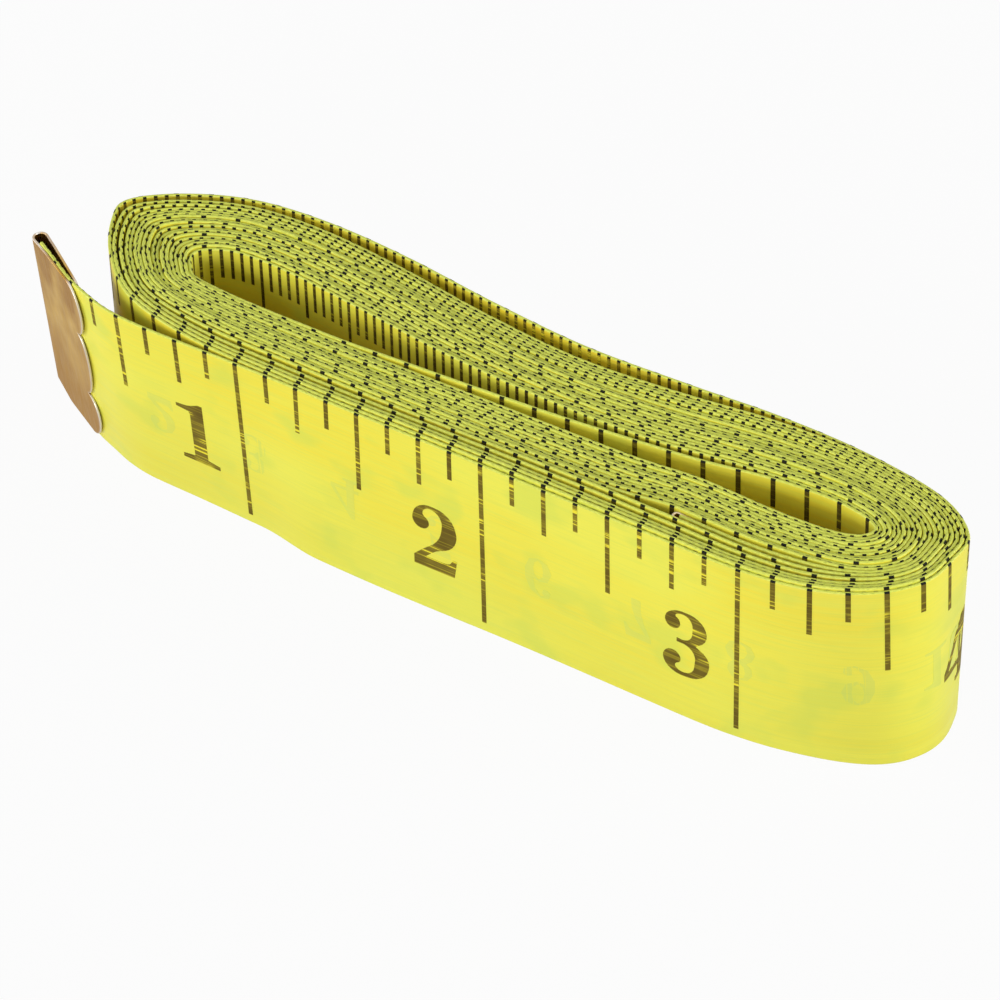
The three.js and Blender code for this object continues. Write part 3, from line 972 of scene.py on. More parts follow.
def tape_section(bm):
    """The ribbon's outline across its length, as one face at length zero."""
    made = bmesh.ops.create_grid(bm, x_segments=1, y_segments=1, size=0.5)
    verts = made["verts"]
    bmesh.ops.scale(bm, verts=verts, vec=(TAPE_WIDTH, TAPE_THICKNESS, 1.0))
    bmesh.ops.bevel(
        bm, geom=verts, offset=EDGE_RADIUS, segments=EDGE_SEGMENTS,
        profile=0.5, affect="VERTICES", material=-1,
    )
    turn = Matrix(((0, 0, 1), (1, 0, 0), (0, 1, 0)))
    bmesh.ops.transform(bm, matrix=turn.to_4x4(), verts=bm.verts[:])
    bmesh.ops.translate(bm, vec=(0.0, TAPE_WIDTH / 2, 0.0), verts=bm.verts[:])


print("the ribbon's section:", TAPE_WIDTH, "by", TAPE_THICKNESS, "mm, rounded by", EDGE_RADIUS, "mm")

# %% Sweeping and winding the ribbon
CLOTH_EDGE_SLOPE = 0.5


def make_ribbon(name, start, end):
    rows = rows_between(start, end, FACET_ERROR, LONGEST_STEP)
    bm = bmesh.new()
    tape_section(bm)
    bmesh.ops.delete(bm, geom=bm.faces[:], context="FACES_ONLY")
    steps = len(rows) - 1
    sweep = {"axis": "X", "angle": 0.0, "screw_offset": float(steps), "steps": steps, "render_steps": steps}
    bm = finished_by(bm, "SCREW", sweep)
    for at in (0, steps):
        ring = [edge for edge in bm.edges if all(round(vert.co.x) == at for vert in edge.verts)]
        bmesh.ops.contextual_create(bm, geom=ring)
    for vert in bm.verts:
        vert.co.x = rows[round(vert.co.x)]
    bmesh.ops.recalc_face_normals(bm, faces=bm.faces[:])
    bm.normal_update()
    flat_uv(bm, CLOTH_EDGE_SLOPE)
    wind_bmesh(bm)
    obj = new_object(name, bm, [cloth])
    return obj


print("the ribbon's rows aim at an error of", FACET_ERROR, "mm in the bends")

# %% [markdown]
# ## Where the ribbon is cut
# The real ribbon is one strip, and one long piece would look the same at rest. But it would have to follow
# nine bodies, and a piece can bend between two of them only. So the free stretch has eight pieces, one for
# each hinge of the frame. A cut lies half way between two hinges, and the pieces on its two sides end in the
# same row of points.

# %% The hinges and the ribbon's pieces
LEAD_PIECES = 7
FRONT_LENGTH = 90.0
hinges = {joint["name"]: joint for joint in frame["joints"]}
hinge_names = [f"peel_{number}" for number in range(1, LEAD_PIECES + 1)] + ["tip_flex"]
piece_names = hinge_names[:-1] + ["tip"]


def length_at_x(x):
    front = slice(0, int(FRONT_LENGTH / SAMPLE_STEP))
    return float(np.interp(x, line_point[front, 0], line_length[front]))


hinge_x = [hinges[name]["pos_m"][0] / MM for name in hinge_names]
pitch = hinge_x[0] - hinge_x[1]
cut_x = [x + pitch / 2 for x in hinge_x]
cut_length = [length_at_x(x) for x in cut_x] + [0.0]
print("cuts at", [round(c, 2) for c in cut_length])

# %% Making the ribbon's pieces
coil_ribbon = make_ribbon("ribbon_coil", cut_length[0], TAPE_LENGTH)
lead_ribbons = []
for number, piece_name in enumerate(piece_names):
    lead_ribbons.append(make_ribbon(f"ribbon_{piece_name}", cut_length[number + 1], cut_length[number]))
print("ribbon points:", len(coil_ribbon.data.vertices), "in the coil")

# %% [markdown]
# ## The printed divisions
# One inch of divisions is modelled once, as thin plates of ink that fold over the ribbon's upper edge, and an
# array repeats it along the tape. The other side gets one centimetre of millimetre divisions, repeated in the
# same way. An image could carry the print, but plates stay crisp from close by. Both rows of divisions start
# at the printed zero.

# %% One plate of ink
INK_DEPTH = 0.014
INK_ROOT = 0.03
INCH_WRAP = (0.0, 25.0, 50.0, 72.0)
MM_WRAP = (0.0, 30.0, 60.0)


def shoulder(radius, angles):
    """Heights and distances on an arc round the upper edge's rounding."""
    middle = (TAPE_WIDTH - EDGE_RADIUS, TAPE_THICKNESS / 2 - EDGE_RADIUS)
    turns = [math.radians(angle) for angle in angles]
    return [(middle[0] + radius * math.sin(turn), middle[1] + radius * math.cos(turn)) for turn in turns]


def tick(bm, at, tall, width, side):
    """A plate of ink on the inch side (1) or the other (-1) that folds over the edge's round shoulder."""
    half = TAPE_THICKNESS / 2
    wrap = INCH_WRAP if side > 0 else MM_WRAP
    path = [(TAPE_WIDTH - tall, half + INK_DEPTH)]
    path += shoulder(EDGE_RADIUS + INK_DEPTH, wrap)
    path += shoulder(EDGE_RADIUS - INK_ROOT, reversed(wrap))
    path += [(TAPE_WIDTH - tall, half - INK_ROOT)]
    verts = [bm.verts.new((at - width / 2, height, distance * side)) for height, distance in path]
    face = bm.faces.new(verts)
    made = bmesh.ops.extrude_face_region(bm, geom=[face])
    moved = [item for item in made["geom"] if isinstance(item, bmesh.types.BMVert)]
    bmesh.ops.translate(bm, vec=(width, 0, 0), verts=moved)


print("ink stands", INK_DEPTH, "mm proud and reaches", INK_ROOT, "mm into the cloth")

# %% The marks of an inch and of a centimetre
TICK_WIDTH = 0.45

# Each eighth of an inch and how far its mark reaches down from the upper edge
EIGHTHS = [(0, 18.0), (1, 3.1), (2, 5.0), (3, 3.1), (4, 8.5), (5, 3.1), (6, 5.0), (7, 3.1)]
MM_TICK_WIDTH = 0.33
MM_TICK_TALL = 3.2

# The whole and the half centimetre have longer marks
TALLER_MM_TICKS = {0: 5.4, 5: 4.3}


def inch_ticks(bm, inch, eighths):
    for eighth, tall in eighths:
        tick(bm, INCH * (inch + eighth / 8), tall, TICK_WIDTH, 1)


def millimetre_ticks(bm, numbers):
    for number in numbers:
        tick(bm, float(number), TALLER_MM_TICKS.get(number % 10, MM_TICK_TALL), MM_TICK_WIDTH, -1)


print("an inch has", len(EIGHTHS), "marks, and the longest is", max(tall for _, tall in EIGHTHS), "mm tall")

# %% Rows of divisions
CENTIMETRE = 10.0
INCH_MARKS_END = 120
CM_MARKS_END = 300


def repeated(pattern, spacing, count):
    """The pattern repeated along the tape by an array."""
    settings = {
        "count": count,
        "use_relative_offset": False,
        "use_constant_offset": True,
        "constant_offset_displace": (spacing, 0, 0),
    }
    return finished_by(pattern, "ARRAY", settings)


def inch_marks():
    bm = bmesh.new()
    inch_ticks(bm, 1, EIGHTHS)
    return repeated(bm, INCH, INCH_MARKS_END - 1)


def millimetre_marks():
    bm = bmesh.new()
    millimetre_ticks(bm, range(10, 20))
    return repeated(bm, CENTIMETRE, CM_MARKS_END - 1)


def first_marks():
    """The divisions before the first inch and the first centimetre."""
    bm = bmesh.new()
    inch_ticks(bm, 0, EIGHTHS[1:])
    millimetre_ticks(bm, range(1, 10))
    return bm


print("inches and centimetres on the ribbon:", INCH_MARKS_END, "and", CM_MARKS_END)

# %% [markdown]
# ## The numerals
# The numbers are bold, with thin serifs and round ends, as on many measuring tapes. A font could give them,
# but few fonts have these shapes. So each digit is an outline of a few points: a smooth curve runs through
# the plain ones, and the ones marked with a third value are corners. A nine is a six turned round.

# %% Digit outlines, in shares of the digit's height
# A point whose third value is C is a corner
C = 1
DIGITS = {
    "0": [
        [(0.32, 0.0), (0.53, 0.1), (0.62, 0.36), (0.62, 0.64), (0.53, 0.9), (0.32, 1.0), (0.11, 0.9),
         (0.02, 0.64), (0.02, 0.36), (0.11, 0.1)],
        [(0.32, 0.06), (0.23, 0.16), (0.2, 0.36), (0.2, 0.64), (0.23, 0.84), (0.32, 0.94), (0.41, 0.84),
         (0.44, 0.64), (0.44, 0.36), (0.41, 0.16)],
    ],
    "1": [
        [(0.04, 0.0, C), (0.6, 0.0, C), (0.6, 0.06, C), (0.42, 0.09, C), (0.42, 1.0, C), (0.36, 1.0, C),
         (0.2, 0.93), (0.02, 0.91, C), (0.02, 0.86, C), (0.2, 0.84, C), (0.22, 0.78, C), (0.22, 0.09, C),
         (0.04, 0.06, C)],
    ],
    "2": [
        [(0.02, 0.0, C), (0.6, 0.0, C), (0.64, 0.27, C), (0.58, 0.27, C), (0.53, 0.19), (0.44, 0.17, C),
         (0.19, 0.17, C), (0.34, 0.31), (0.54, 0.43), (0.63, 0.58), (0.63, 0.75), (0.53, 0.93),
         (0.33, 1.0), (0.12, 0.95), (0.02, 0.8), (0.03, 0.66), (0.13, 0.6), (0.23, 0.65), (0.24, 0.75),
         (0.16, 0.83), (0.2, 0.93), (0.3, 0.95), (0.41, 0.87), (0.43, 0.7), (0.35, 0.47), (0.16, 0.28),
         (0.02, 0.14, C)],
    ],
    "3": [
        [(0.2, 0.56, C), (0.2, 0.5, C), (0.34, 0.49), (0.44, 0.4), (0.45, 0.24), (0.41, 0.1),
         (0.31, 0.045), (0.19, 0.08), (0.18, 0.13), (0.25, 0.2), (0.23, 0.3), (0.13, 0.34), (0.03, 0.27),
         (0.02, 0.14), (0.13, 0.02), (0.33, -0.01), (0.54, 0.06), (0.64, 0.23), (0.62, 0.41),
         (0.46, 0.53, C), (0.59, 0.66), (0.6, 0.83), (0.5, 0.96), (0.32, 1.0), (0.13, 0.95),
         (0.04, 0.83), (0.07, 0.72), (0.16, 0.69), (0.24, 0.75), (0.23, 0.85), (0.18, 0.9), (0.24, 0.95),
         (0.33, 0.95), (0.4, 0.89), (0.42, 0.76), (0.39, 0.62), (0.31, 0.56)],
    ],
    "4": [
        [(0.3, 0.0, C), (0.66, 0.0, C), (0.66, 0.055, C), (0.56, 0.075, C), (0.56, 0.23, C),
         (0.67, 0.23, C), (0.67, 0.31, C), (0.56, 0.31, C), (0.56, 1.0, C), (0.47, 1.0, C),
         (0.0, 0.33, C), (0.0, 0.23, C), (0.38, 0.23, C), (0.38, 0.075, C), (0.3, 0.055, C)],
        [(0.38, 0.31, C), (0.09, 0.31, C), (0.38, 0.74, C)],
    ],
    "5": [
        [(0.08, 0.48, C), (0.13, 1.0, C), (0.56, 1.0, C), (0.54, 0.84, C), (0.19, 0.84, C),
         (0.16, 0.61, C), (0.34, 0.65), (0.54, 0.57), (0.63, 0.35), (0.55, 0.1), (0.32, -0.01),
         (0.12, 0.03), (0.02, 0.15), (0.03, 0.26), (0.12, 0.31), (0.22, 0.26), (0.23, 0.17),
         (0.18, 0.09), (0.28, 0.05), (0.4, 0.12), (0.44, 0.33), (0.39, 0.53), (0.28, 0.59),
         (0.15, 0.54)],
    ],
    "6": [
        [(0.33, 0.0), (0.54, 0.08), (0.63, 0.3), (0.54, 0.53), (0.35, 0.6), (0.21, 0.54, C), (0.24, 0.8),
         (0.37, 0.95), (0.45, 0.92), (0.41, 0.85), (0.43, 0.76), (0.52, 0.74), (0.6, 0.81), (0.57, 0.94),
         (0.38, 1.0), (0.14, 0.88), (0.02, 0.6), (0.02, 0.34), (0.12, 0.08)],
        [(0.33, 0.055), (0.24, 0.13), (0.21, 0.3), (0.24, 0.46), (0.33, 0.54), (0.42, 0.46), (0.44, 0.3),
         (0.41, 0.13)],
    ],
    "7": [
        [(0.18, 0.0, C), (0.39, 0.0, C), (0.4, 0.3), (0.48, 0.6), (0.63, 0.9, C), (0.63, 1.0, C),
         (0.06, 1.0, C), (0.01, 0.68, C), (0.06, 0.68, C), (0.14, 0.8), (0.24, 0.84, C), (0.5, 0.84, C),
         (0.28, 0.5), (0.19, 0.22)],
    ],
    "8": [
        [(0.32, 0.0), (0.55, 0.07), (0.64, 0.26), (0.58, 0.43), (0.46, 0.53, C), (0.57, 0.64),
         (0.59, 0.8), (0.49, 0.95), (0.32, 1.0), (0.15, 0.95), (0.06, 0.8), (0.08, 0.65),
         (0.18, 0.54, C), (0.06, 0.42), (0.01, 0.25), (0.1, 0.07)],
        [(0.32, 0.055), (0.19, 0.12), (0.16, 0.27), (0.22, 0.42), (0.3, 0.48), (0.42, 0.4), (0.48, 0.25),
         (0.44, 0.11)],
        [(0.34, 0.57), (0.25, 0.66), (0.21, 0.8), (0.25, 0.91), (0.33, 0.945), (0.41, 0.9), (0.44, 0.78),
         (0.41, 0.65)],
    ],
}
DIGIT_WIDTH = 0.65
DIGITS["9"] = [[(DIGIT_WIDTH - x, 1.0 - y, *rest) for x, y, *rest in outline] for outline in DIGITS["6"]]
print("digits:", " ".join(DIGITS))

# %% A digit's outline as a curve
LARGE_STEPS = 3
SMALL_STEPS = 1


def digit_curve(character, steps):
    """A digit's outline as a filled flat curve, one unit high."""
    curve = bpy.data.curves.new("digit", "CURVE")
    curve.dimensions = "2D"
    curve.fill_mode = "BOTH"
    curve.resolution_u = steps
    for outline in DIGITS[character]:
        path = curve.splines.new("BEZIER")
        path.bezier_points.add(len(outline) - 1)
        path.use_cyclic_u = True
        for point, (x, y, *corner) in zip(path.bezier_points, outline):
            point.co = (x, y, 0)
            kind = "VECTOR" if corner else "AUTO"
            point.handle_left_type = kind
            point.handle_right_type = kind
    return curve


print("steps from point to point in large and small digits:", LARGE_STEPS, "and", SMALL_STEPS)

# %% Filled digits
FLAT_ANGLE = 0.01


def digit_mesh(character, steps):
    """The filled curve made a mesh, with as few faces as it needs."""
    curve = digit_curve(character, steps)
    obj = linked("digit", curve)
    graph = bpy.context.evaluated_depsgraph_get()
    mesh = bpy.data.meshes.new_from_object(obj.evaluated_get(graph))
    bpy.data.objects.remove(obj)
    bpy.data.curves.remove(curve)
    bm = bmesh.new()
    bm.from_mesh(mesh)
    bmesh.ops.remove_doubles(bm, verts=bm.verts[:], dist=FLAT_ANGLE / 2)
    bmesh.ops.dissolve_limit(bm, angle_limit=FLAT_ANGLE, verts=bm.verts[:], edges=bm.edges[:])
    bm.to_mesh(mesh)
    bm.free()
    return mesh


large_digits = {character: digit_mesh(character, LARGE_STEPS) for character in DIGITS}
small_digits = {character: digit_mesh(character, SMALL_STEPS) for character in DIGITS}
print("points in each small digit:", {c: len(m.vertices) for c, m in small_digits.items()})

# %% [markdown]
# ## Placing the numbers
# A number stands just before its mark. On the inch side it reads with the upper edge up, and on the other
# side it stands upside down to that. A number could be laid on the wound ribbon as a stiff plate, but in a
# bend it would sink in at its middle or stand off at its ends. So each one is written flat, cut across in
# rows so that it can bend with the ribbon, and given its thickness by an extrusion. The first centimetre
# numbers are written a second time, very thin, on the inch side: there they show through the cloth, mirrored.

# %% A number's sizes and its digits
INCH_DIGIT_HEIGHT = 7.15
INCH_DIGIT_BASE = 4.85
CM_DIGIT_HEIGHT = 4.4
CM_DIGIT_BASE = 7.9
DIGIT_ADVANCE = 0.69
NUMBER_GAP = 2.3
CM_NUMBER_GAP = 1.9
SHOWN_DEPTH = 0.009


def write_digits(part, text, left, base, tall, digits):
    for index, character in enumerate(text):
        before = set(part.verts)
        part.from_mesh(digits[character])
        fresh = [vert for vert in part.verts if vert not in before]
        bmesh.ops.scale(part, vec=(tall, tall, 1.0), verts=fresh)
        bmesh.ops.translate(part, vec=(left + DIGIT_ADVANCE * tall * index, base, 0.0), verts=fresh)


def show_through(part):
    """Turns a number of the other side into the thin, mirrored one that is seen through the cloth."""
    bmesh.ops.scale(part, vec=(1, 1, -1), verts=part.verts[:])
    bmesh.ops.translate(part, vec=(0, 0, SHOWN_DEPTH - INK_DEPTH), verts=part.verts[:])
    for face in part.faces:
        face.material_index = 1


print("a two-digit inch number is", round(2 * DIGIT_ADVANCE * INCH_DIGIT_HEIGHT, 2), "mm long")

# %% Writing, cutting and thickening a number
NUMBER_FACET_ERROR = 0.004
LONGEST_NUMBER_STEP = 3.0


def add_number(bm, text, right, base, tall, side, through=False):
    """Writes a number that ends at a length, on the inch side (1) or upside down on the other (-1)."""
    part = bmesh.new()
    left = right - DIGIT_ADVANCE * tall * len(text)
    write_digits(part, text, left, base, tall, large_digits if side > 0 else small_digits)
    for at in rows_between(left, right, NUMBER_FACET_ERROR, LONGEST_NUMBER_STEP)[1:-1]:
        everything = part.verts[:] + part.edges[:] + part.faces[:]
        bmesh.ops.bisect_plane(part, geom=everything, plane_co=(at, 0, 0), plane_no=(1, 0, 0))
    made = bmesh.ops.extrude_face_region(part, geom=part.faces[:])
    moved = [item for item in made["geom"] if isinstance(item, bmesh.types.BMVert)]
    bmesh.ops.translate(part, vec=(0, 0, INK_DEPTH * 2), verts=moved)
    bmesh.ops.translate(part, vec=(0, 0, TAPE_THICKNESS / 2 - INK_DEPTH), verts=part.verts[:])
    if side < 0:
        turn = Matrix.Rotation(math.pi, 4, "X")
        bmesh.ops.transform(part, matrix=turn, verts=part.verts[:])
        bmesh.ops.translate(part, vec=(0, TAPE_WIDTH, 0), verts=part.verts[:])
    if through:
        show_through(part)
    mesh = freed_mesh("number", part)
    bm.from_mesh(mesh)
    bpy.data.meshes.remove(mesh)


print("the inch numbers stand", INCH_DIGIT_HEIGHT, "mm tall")

# %% All the numbers
SHOWN_THROUGH_UNTIL = 21


def add_centimetre_number(bm, number, through=False):
    right = number * CENTIMETRE - CM_NUMBER_GAP
    add_number(bm, str(number), right, CM_DIGIT_BASE, CM_DIGIT_HEIGHT, -1, through)


def inch_numbers():
    bm = bmesh.new()
    for number in range(1, INCH_MARKS_END + 1):
        add_number(bm, str(number), number * INCH - NUMBER_GAP, INCH_DIGIT_BASE, INCH_DIGIT_HEIGHT, 1)
    for number in range(1, SHOWN_THROUGH_UNTIL + 1):
        add_centimetre_number(bm, number, through=True)
    return bm


def centimetre_numbers():
    bm = bmesh.new()
    for number in range(1, CM_MARKS_END + 1):
        add_centimetre_number(bm, number)
    return bm


print("numbers that show through:", SHOWN_THROUGH_UNTIL)

# %% [markdown]
# ## Cutting and winding the print
# The print has to part where the ribbon's pieces part, so that each piece of print bends with its own ribbon.
# It could be cut once it is wound, but a plane there would go through other turns too. While the tape is
# flat, one plane makes each cut. So each kind of print is made for the whole tape and cut at the same
# lengths as the ribbon, and its first stretch goes to the eight free pieces.

# %% Cutting the print to the ribbon's pieces
INK_EDGE_SLOPE = 0.2
PLATE_SHARP_ANGLE = math.radians(30)


def cut_flat(bm, start, end):
    """Keeps what lies between two lengths of the flat tape and closes the cuts."""
    for at, side in ((start, -1), (end, 1)):
        everything = bm.verts[:] + bm.edges[:] + bm.faces[:]
        made = bmesh.ops.bisect_plane(
            bm, geom=everything, plane_co=(at, 0, 0), plane_no=(side, 0, 0),
            clear_outer=True, clear_inner=False,
        )
        rim = [item for item in made["geom_cut"] if isinstance(item, bmesh.types.BMEdge)]
        if rim:
            bmesh.ops.edgenet_fill(bm, edges=rim)
    return bm


def finish_print(name, bm):
    bmesh.ops.recalc_face_normals(bm, faces=bm.faces[:])
    bm.normal_update()
    flat_uv(bm, INK_EDGE_SLOPE)
    wind_bmesh(bm)
    obj = new_object(name, bm, [ink, shown_through], PLATE_SHARP_ANGLE)
    return obj


print("the print's cut at the coil is at", round(cut_length[0], 2), "mm")

# %% The coil's print
prints = {}
lead_print = first_marks()
for name, maker in (
    ("print_inch_marks", inch_marks),
    ("print_millimetre_marks", millimetre_marks),
    ("print_inch_numbers", inch_numbers),
    ("print_centimetre_numbers", centimetre_numbers),
):
    whole = maker()
    lead = freed_mesh("lead", cut_flat(whole.copy(), 0.0, cut_length[0]))
    lead_print.from_mesh(lead)
    bpy.data.meshes.remove(lead)
    prints[name] = finish_print(name, cut_flat(whole, cut_length[0], TAPE_LENGTH))
print("print faces:", {name: len(obj.data.polygons) for name, obj in prints.items()})

# %% The print on the free pieces
lead_prints = []
for number, piece_name in enumerate(piece_names):
    part = cut_flat(lead_print.copy(), cut_length[number + 1], cut_length[number])
    lead_prints.append(finish_print(f"print_{piece_name}", part))
lead_print.free()
print("print faces on the free pieces:", [len(obj.data.polygons) for obj in lead_prints])

# %% [markdown]
# ## The clips
# A clip is one piece of sheet, cut with three round lobes at each mouth edge and folded over the tape's end.
# A folded sheet could be two plates and a tube, but their joins would show. So a clip starts as a flat grid,
# and each of its rows is laid along a section: the front leaf, the fold and the rear leaf. The outer clip's
# fold stands open like a drop, and the rear leaf slopes down to the tape. The sheet then gets its thickness
# from Solidify and its soft edges from a small bevel.

# %% The lobes and the section of a clip
FOLD_COLUMNS = 14
LEAF_COLUMNS = 16
ROWS_PER_LOBE = 14


def clip_rows(lobes):
    """Heights below the clip's top and how far the mouth reaches there, down the three lobes."""
    rows = []
    for top, bottom, start, end, reach in lobes:
        for step in range(ROWS_PER_LOBE + 1):
            angle = math.pi * step / ROWS_PER_LOBE
            share = (1 - math.cos(angle)) / 2
            base = start + (end - start) * share
            row = (top + (bottom - top) * share, base + (reach - (start + end) / 2) * math.sin(angle))
            if not rows or row[0] > rows[-1][0] + SAME_PLACE:
                rows.append(row)
    return rows


def clip_section(column, start, mouth, radius, rear_offset):
    """Places along and out for one column, and its share of the way from the fold to the mouth."""
    if column < LEAF_COLUMNS:
        leaf = 1 - column / LEAF_COLUMNS
        return start + (mouth - start) * leaf, 0.0, leaf
    if column <= LEAF_COLUMNS + FOLD_COLUMNS:
        angle = math.pi * (column - LEAF_COLUMNS) / FOLD_COLUMNS
        return start - radius * math.sin(angle), -radius * (1 - math.cos(angle)), 0.0
    leaf = (column - LEAF_COLUMNS - FOLD_COLUMNS) / LEAF_COLUMNS
    return start + (mouth - start) * leaf, -2 * radius + (2 * radius - rear_offset) * leaf, leaf


print("faces across a clip's sheet:", 2 * LEAF_COLUMNS + FOLD_COLUMNS)

# %% Laying a grid along the section
SLANT_FADES_OVER = 3.0


def fold_grid(rows, fold_top, fold_bottom, fold_width, rear_offset, place):
    """A grid laid along the section. Its rows slant with the fold there, and lie level at the mouth."""
    columns = 2 * LEAF_COLUMNS + FOLD_COLUMNS
    bm = bmesh.new()
    bmesh.ops.create_grid(bm, x_segments=columns, y_segments=len(rows) - 1, size=0.5)
    radius = (fold_width - CLIP_SHEET) / 2
    depth = rows[-1][0]
    for vert in bm.verts:
        column = round((vert.co.x + 0.5) * columns)
        mouth_down, mouth = rows[round((0.5 - vert.co.y) * (len(rows) - 1))]
        share = mouth_down / depth
        fold_along = fold_top[0] + (fold_bottom[0] - fold_top[0]) * share
        fold_down = fold_top[1] + (fold_bottom[1] - fold_top[1]) * share
        start = fold_along + CLIP_SHEET / 2 + radius
        along, out, leaf = clip_section(column, start, mouth, radius, rear_offset)
        blend = min(leaf * SLANT_FADES_OVER, 1.0)
        down = fold_down * (1 - blend) + mouth_down * blend
        vert.co = place(along, down, out - CLIP_SHEET / 2)
    return bm


print("the fold's slant is gone at", round(1 / SLANT_FADES_OVER, 2), "of the way to the mouth")

# %% Making a clip
CLIP_SHARP_ANGLE = math.radians(60)
SHEET_ROUNDING = 0.06
ROUNDING_SEGMENTS = 2


def make_clip(name, lobes, fold_top, fold_bottom, fold_width, rear_offset, place):
    """Place maps (along, down, out), in millimetres on the front leaf's outer face, to metres."""
    bm = fold_grid(clip_rows(lobes), fold_top, fold_bottom, fold_width, rear_offset, place)
    bmesh.ops.recalc_face_normals(bm, faces=bm.faces[:])
    obj = new_object(name, bm, [brass], CLIP_SHARP_ANGLE)
    wall = obj.modifiers.new("sheet", "SOLIDIFY")
    wall.thickness = CLIP_SHEET * MM
    wall.offset = 0.0
    wall.use_even_offset = True
    rounding = obj.modifiers.new("edges", "BEVEL")
    rounding.width = SHEET_ROUNDING * MM
    rounding.segments = ROUNDING_SEGMENTS
    rounding.limit_method = "ANGLE"
    rounding.angle_limit = SHARP_ANGLE
    return obj


print("the clips' sheet is", CLIP_SHEET, "mm thick")

# %% The outer clip, leaning with the tip

# Each lobe's top and bottom below the clip's top, how far the notches beside it reach, and how far it reaches
OUTER_LOBES = [(0.05, 6.2, 7.17, 7.19, 8.94), (6.2, 13.9, 7.19, 6.63, 8.42), (13.9, 19.17, 6.63, 6.0, 8.3)]

# The fold's top and bottom end: how far along from the clip's corner, and how far down
OUTER_FOLD_TOP = (-0.62, 0.19)
OUTER_FOLD_BOTTOM = (-1.77, 18.11)
OUTER_FOLD_WIDTH = 1.5
OUTER_REAR_OFFSET = CLIP_SHEET + 2 * CLIP_TAPE_GAP + TAPE_THICKNESS
CLIP_UPRIGHT = 0.9925


def outer_clip_place(along, down, out):
    plan = CLIP_CORNER + TIP_HEADING * along - TIP_INWARD * (out + CLIP_PROUD)
    plan = plan + TIP_INWARD * TIP_LEAN * down / TAPE_WIDTH
    return Vector((plan[0], plan[1], TAPE_WIDTH - down * CLIP_UPRIGHT)) * MM


outer_clip = make_clip(
    "clip_outer", OUTER_LOBES, OUTER_FOLD_TOP, OUTER_FOLD_BOTTOM, OUTER_FOLD_WIDTH, OUTER_REAR_OFFSET,
    outer_clip_place,
)
print("outer clip faces:", len(outer_clip.data.polygons))

# %% [markdown]
# ## The second clip
# The other end's clip is pressed flat between the front layers. It is a little lower than the ribbon, its
# lobes are even, and it stands upright along the last stretch of the centre line. It could be a copy of the
# outer clip, but that one's fold stands open. So the same function folds it from numbers of its own.

# %% The second clip, flat between the layers
INNER_TRIM = 0.45
INNER_HEIGHT = TAPE_WIDTH - 2 * INNER_TRIM
INNER_SETBACK = 0.4
INNER_NOTCH_DEPTH = 1.4
INNER_FOLD_RISE = 0.35
INNER_REACH = INNER_CLIP_LENGTH - INNER_SETBACK
INNER_NOTCH = INNER_REACH - INNER_NOTCH_DEPTH
INNER_LOBE_SHARES = ((0, 0.33), (0.33, 0.73), (0.73, 1))
INNER_LOBES = [
    (INNER_HEIGHT * top, INNER_HEIGHT * bottom, INNER_NOTCH, INNER_NOTCH, INNER_REACH)
    for top, bottom in INNER_LOBE_SHARES
]
INNER_FOLD_TOP = (-0.75, -0.3)
INNER_FOLD_BOTTOM = (-0.5, INNER_HEIGHT - INNER_FOLD_RISE)
second_end = places_at(TAPE_LENGTH, line_length, line_point)
second_mouth = places_at(TAPE_LENGTH - INNER_CLIP_LENGTH, line_length, line_point)
second_heading = (second_mouth - second_end) / np.linalg.norm(second_mouth - second_end)
second_outward = np.array([second_heading[1], -second_heading[0]])
second_top = TAPE_WIDTH - INNER_TRIM + float(lift_at(np.array([TAPE_LENGTH]))[0])


def inner_clip_place(along, down, out):
    plan = second_end + second_heading * along + second_outward * (out + inner_clip_thickness / 2)
    return Vector((plan[0], plan[1], second_top - down)) * MM


inner_clip = make_clip(
    "clip_inner", INNER_LOBES, INNER_FOLD_TOP, INNER_FOLD_BOTTOM, inner_clip_thickness,
    inner_clip_thickness - CLIP_SHEET, inner_clip_place,
)
print("second clip faces:", len(inner_clip.data.polygons))

# %% [markdown]
# ## Riding on the bodies
# The coil, its print and the second clip ride on one body, and the outer clip rides on the tip's body. Each
# short piece of the free end could turn stiffly on its own hinge, but then it would tear from its neighbour.
# The pieces of the free end and their print are not bound to the hinges: each keeps its wound place in its
# points.

# %% Bodies, and the places of the free pieces
for obj in (coil_ribbon, inner_clip, *prints.values()):
    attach(obj, "coil")
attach(outer_clip, "tip")
for number, hinge_name in enumerate(hinge_names):
    for piece in (lead_ribbons[number], lead_prints[number]):
        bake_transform(piece)

# %% [markdown]
# ## What the pieces stand for
# The dressed ribbon and clips take the place of the frame's plain ones, which are hidden then. The ribbon is
# one sheet of cloth, so its flat size is given: the tape's width and its whole length.

# %% Replaced nodes and the sheet
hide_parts("tape_coil")
for number, piece in enumerate(lead_ribbons):
    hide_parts("tape_tip" if number == LEAD_PIECES else f"tape_lead_{number + 1}")
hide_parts("outer_end_clip")
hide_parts("inner_end_clip")
print("the ribbon's flat size:", TAPE_WIDTH, "by", round(TAPE_LENGTH, 1), "mm")

# %% [markdown]
# ## Floor and light
# The coil stands on a plain pale floor. Strong light would give a white ground too, but it would wash the
# yellow out. So the floor and the world only look white, to the camera and in reflections, and they light
# the object as a plain grey. Three low lamps stand round the coil: they light its sides and leave the hollow
# dark, as in the photograph. One weak lamp stands high, for the upper edges.

# %% The world
WHITE = (1.0, 1.0, 1.0)
WORLD_LEVEL = 0.2


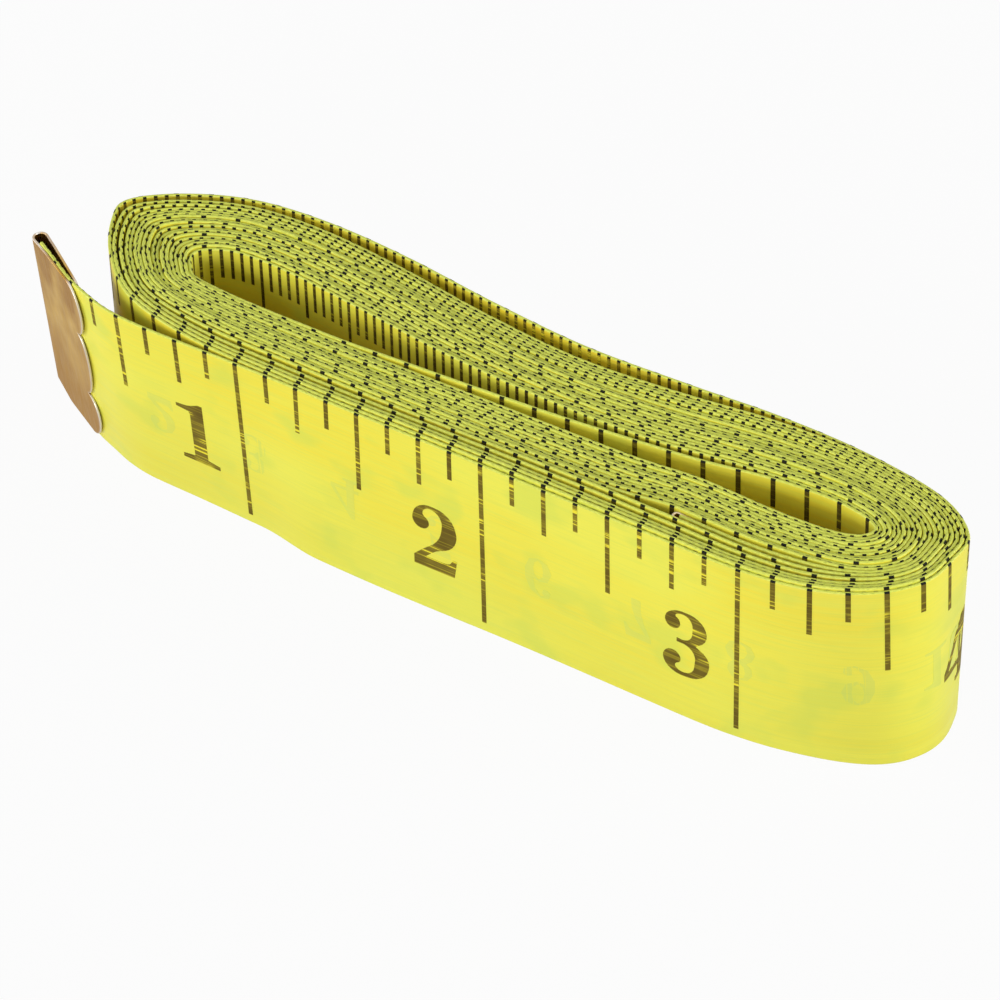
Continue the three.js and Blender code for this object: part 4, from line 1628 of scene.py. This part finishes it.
def seen_directly(tree):
    """One for rays that the camera, a reflection or glass sends, and zero for light on a surface."""
    rays = add_node(tree, "ShaderNodeLightPath").outputs
    seen = computed(tree, "MAXIMUM", rays["Is Camera Ray"], rays["Is Glossy Ray"])
    return computed(tree, "MAXIMUM", seen, rays["Is Transmission Ray"])


def add_world():
    world = bpy.data.worlds.new("studio")
    world.use_nodes = True
    tree = world.node_tree
    grey = (WORLD_LEVEL,) * 3
    background = found_node(tree, "BACKGROUND")
    feed(tree, background.inputs["Color"], mix_colour(tree, seen_directly(tree), grey, WHITE))
    bpy.context.scene.world = world


add_world()
print("the world lights at", WORLD_LEVEL, "of white")

# %% The floor
FLOOR_GLOW = 0.95
FLOOR_SIZE = 1.5
FLOOR_FINISH = {"Base Color": (0.6, 0.6, 0.6, 1.0), "Roughness": 0.9}


def add_floor():
    bm = bmesh.new()
    bmesh.ops.create_grid(bm, x_segments=1, y_segments=1, size=FLOOR_SIZE)
    material, tree, shader = new_material("floor", FLOOR_FINISH)
    floor = new_object("floor", bm, [material])
    glow = add_node(tree, "ShaderNodeEmission", Strength=1.0)
    feed(tree, glow.inputs["Color"], WHITE)
    mixer = add_node(tree, "ShaderNodeMixShader")
    feed(tree, mixer.inputs[0], computed(tree, "MULTIPLY", seen_directly(tree), FLOOR_GLOW))
    feed(tree, mixer.inputs[1], shader.outputs[0])
    feed(tree, mixer.inputs[2], glow.outputs[0])
    feed(tree, found_node(tree, "OUTPUT_MATERIAL").inputs["Surface"], mixer.outputs[0])


add_floor()
print("where it is seen, the floor glows at", FLOOR_GLOW, "of white")

# %% Lamps, each with its place, its size and its power
LAMPS = {
    "front_lamp": ((0.3, -1.05, 0.29), 0.5, 6.2),
    "left_lamp": ((-0.9, -0.6, 0.32), 0.5, 5.2),
    "right_lamp": ((0.86, 0.36, 0.3), 0.5, 6.0),
    "high_lamp": ((-0.5, -0.55, 1.0), 0.4, 0.9),
}


def add_lamp(name, place, size, power):
    data = bpy.data.lights.new(name, "AREA")
    data.shape = "SQUARE"
    data.size = size
    data.energy = power
    lamp = linked(name, data)
    lamp.location = place
    lamp.rotation_mode = "QUATERNION"
    lamp.rotation_quaternion = (-Vector(place)).to_track_quat("-Z", "Y")


for name, (place, size, power) in LAMPS.items():
    add_lamp(name, place, size, power)
bpy.context.scene.view_settings.view_transform = "Standard"
print("lamps:", ", ".join(LAMPS))
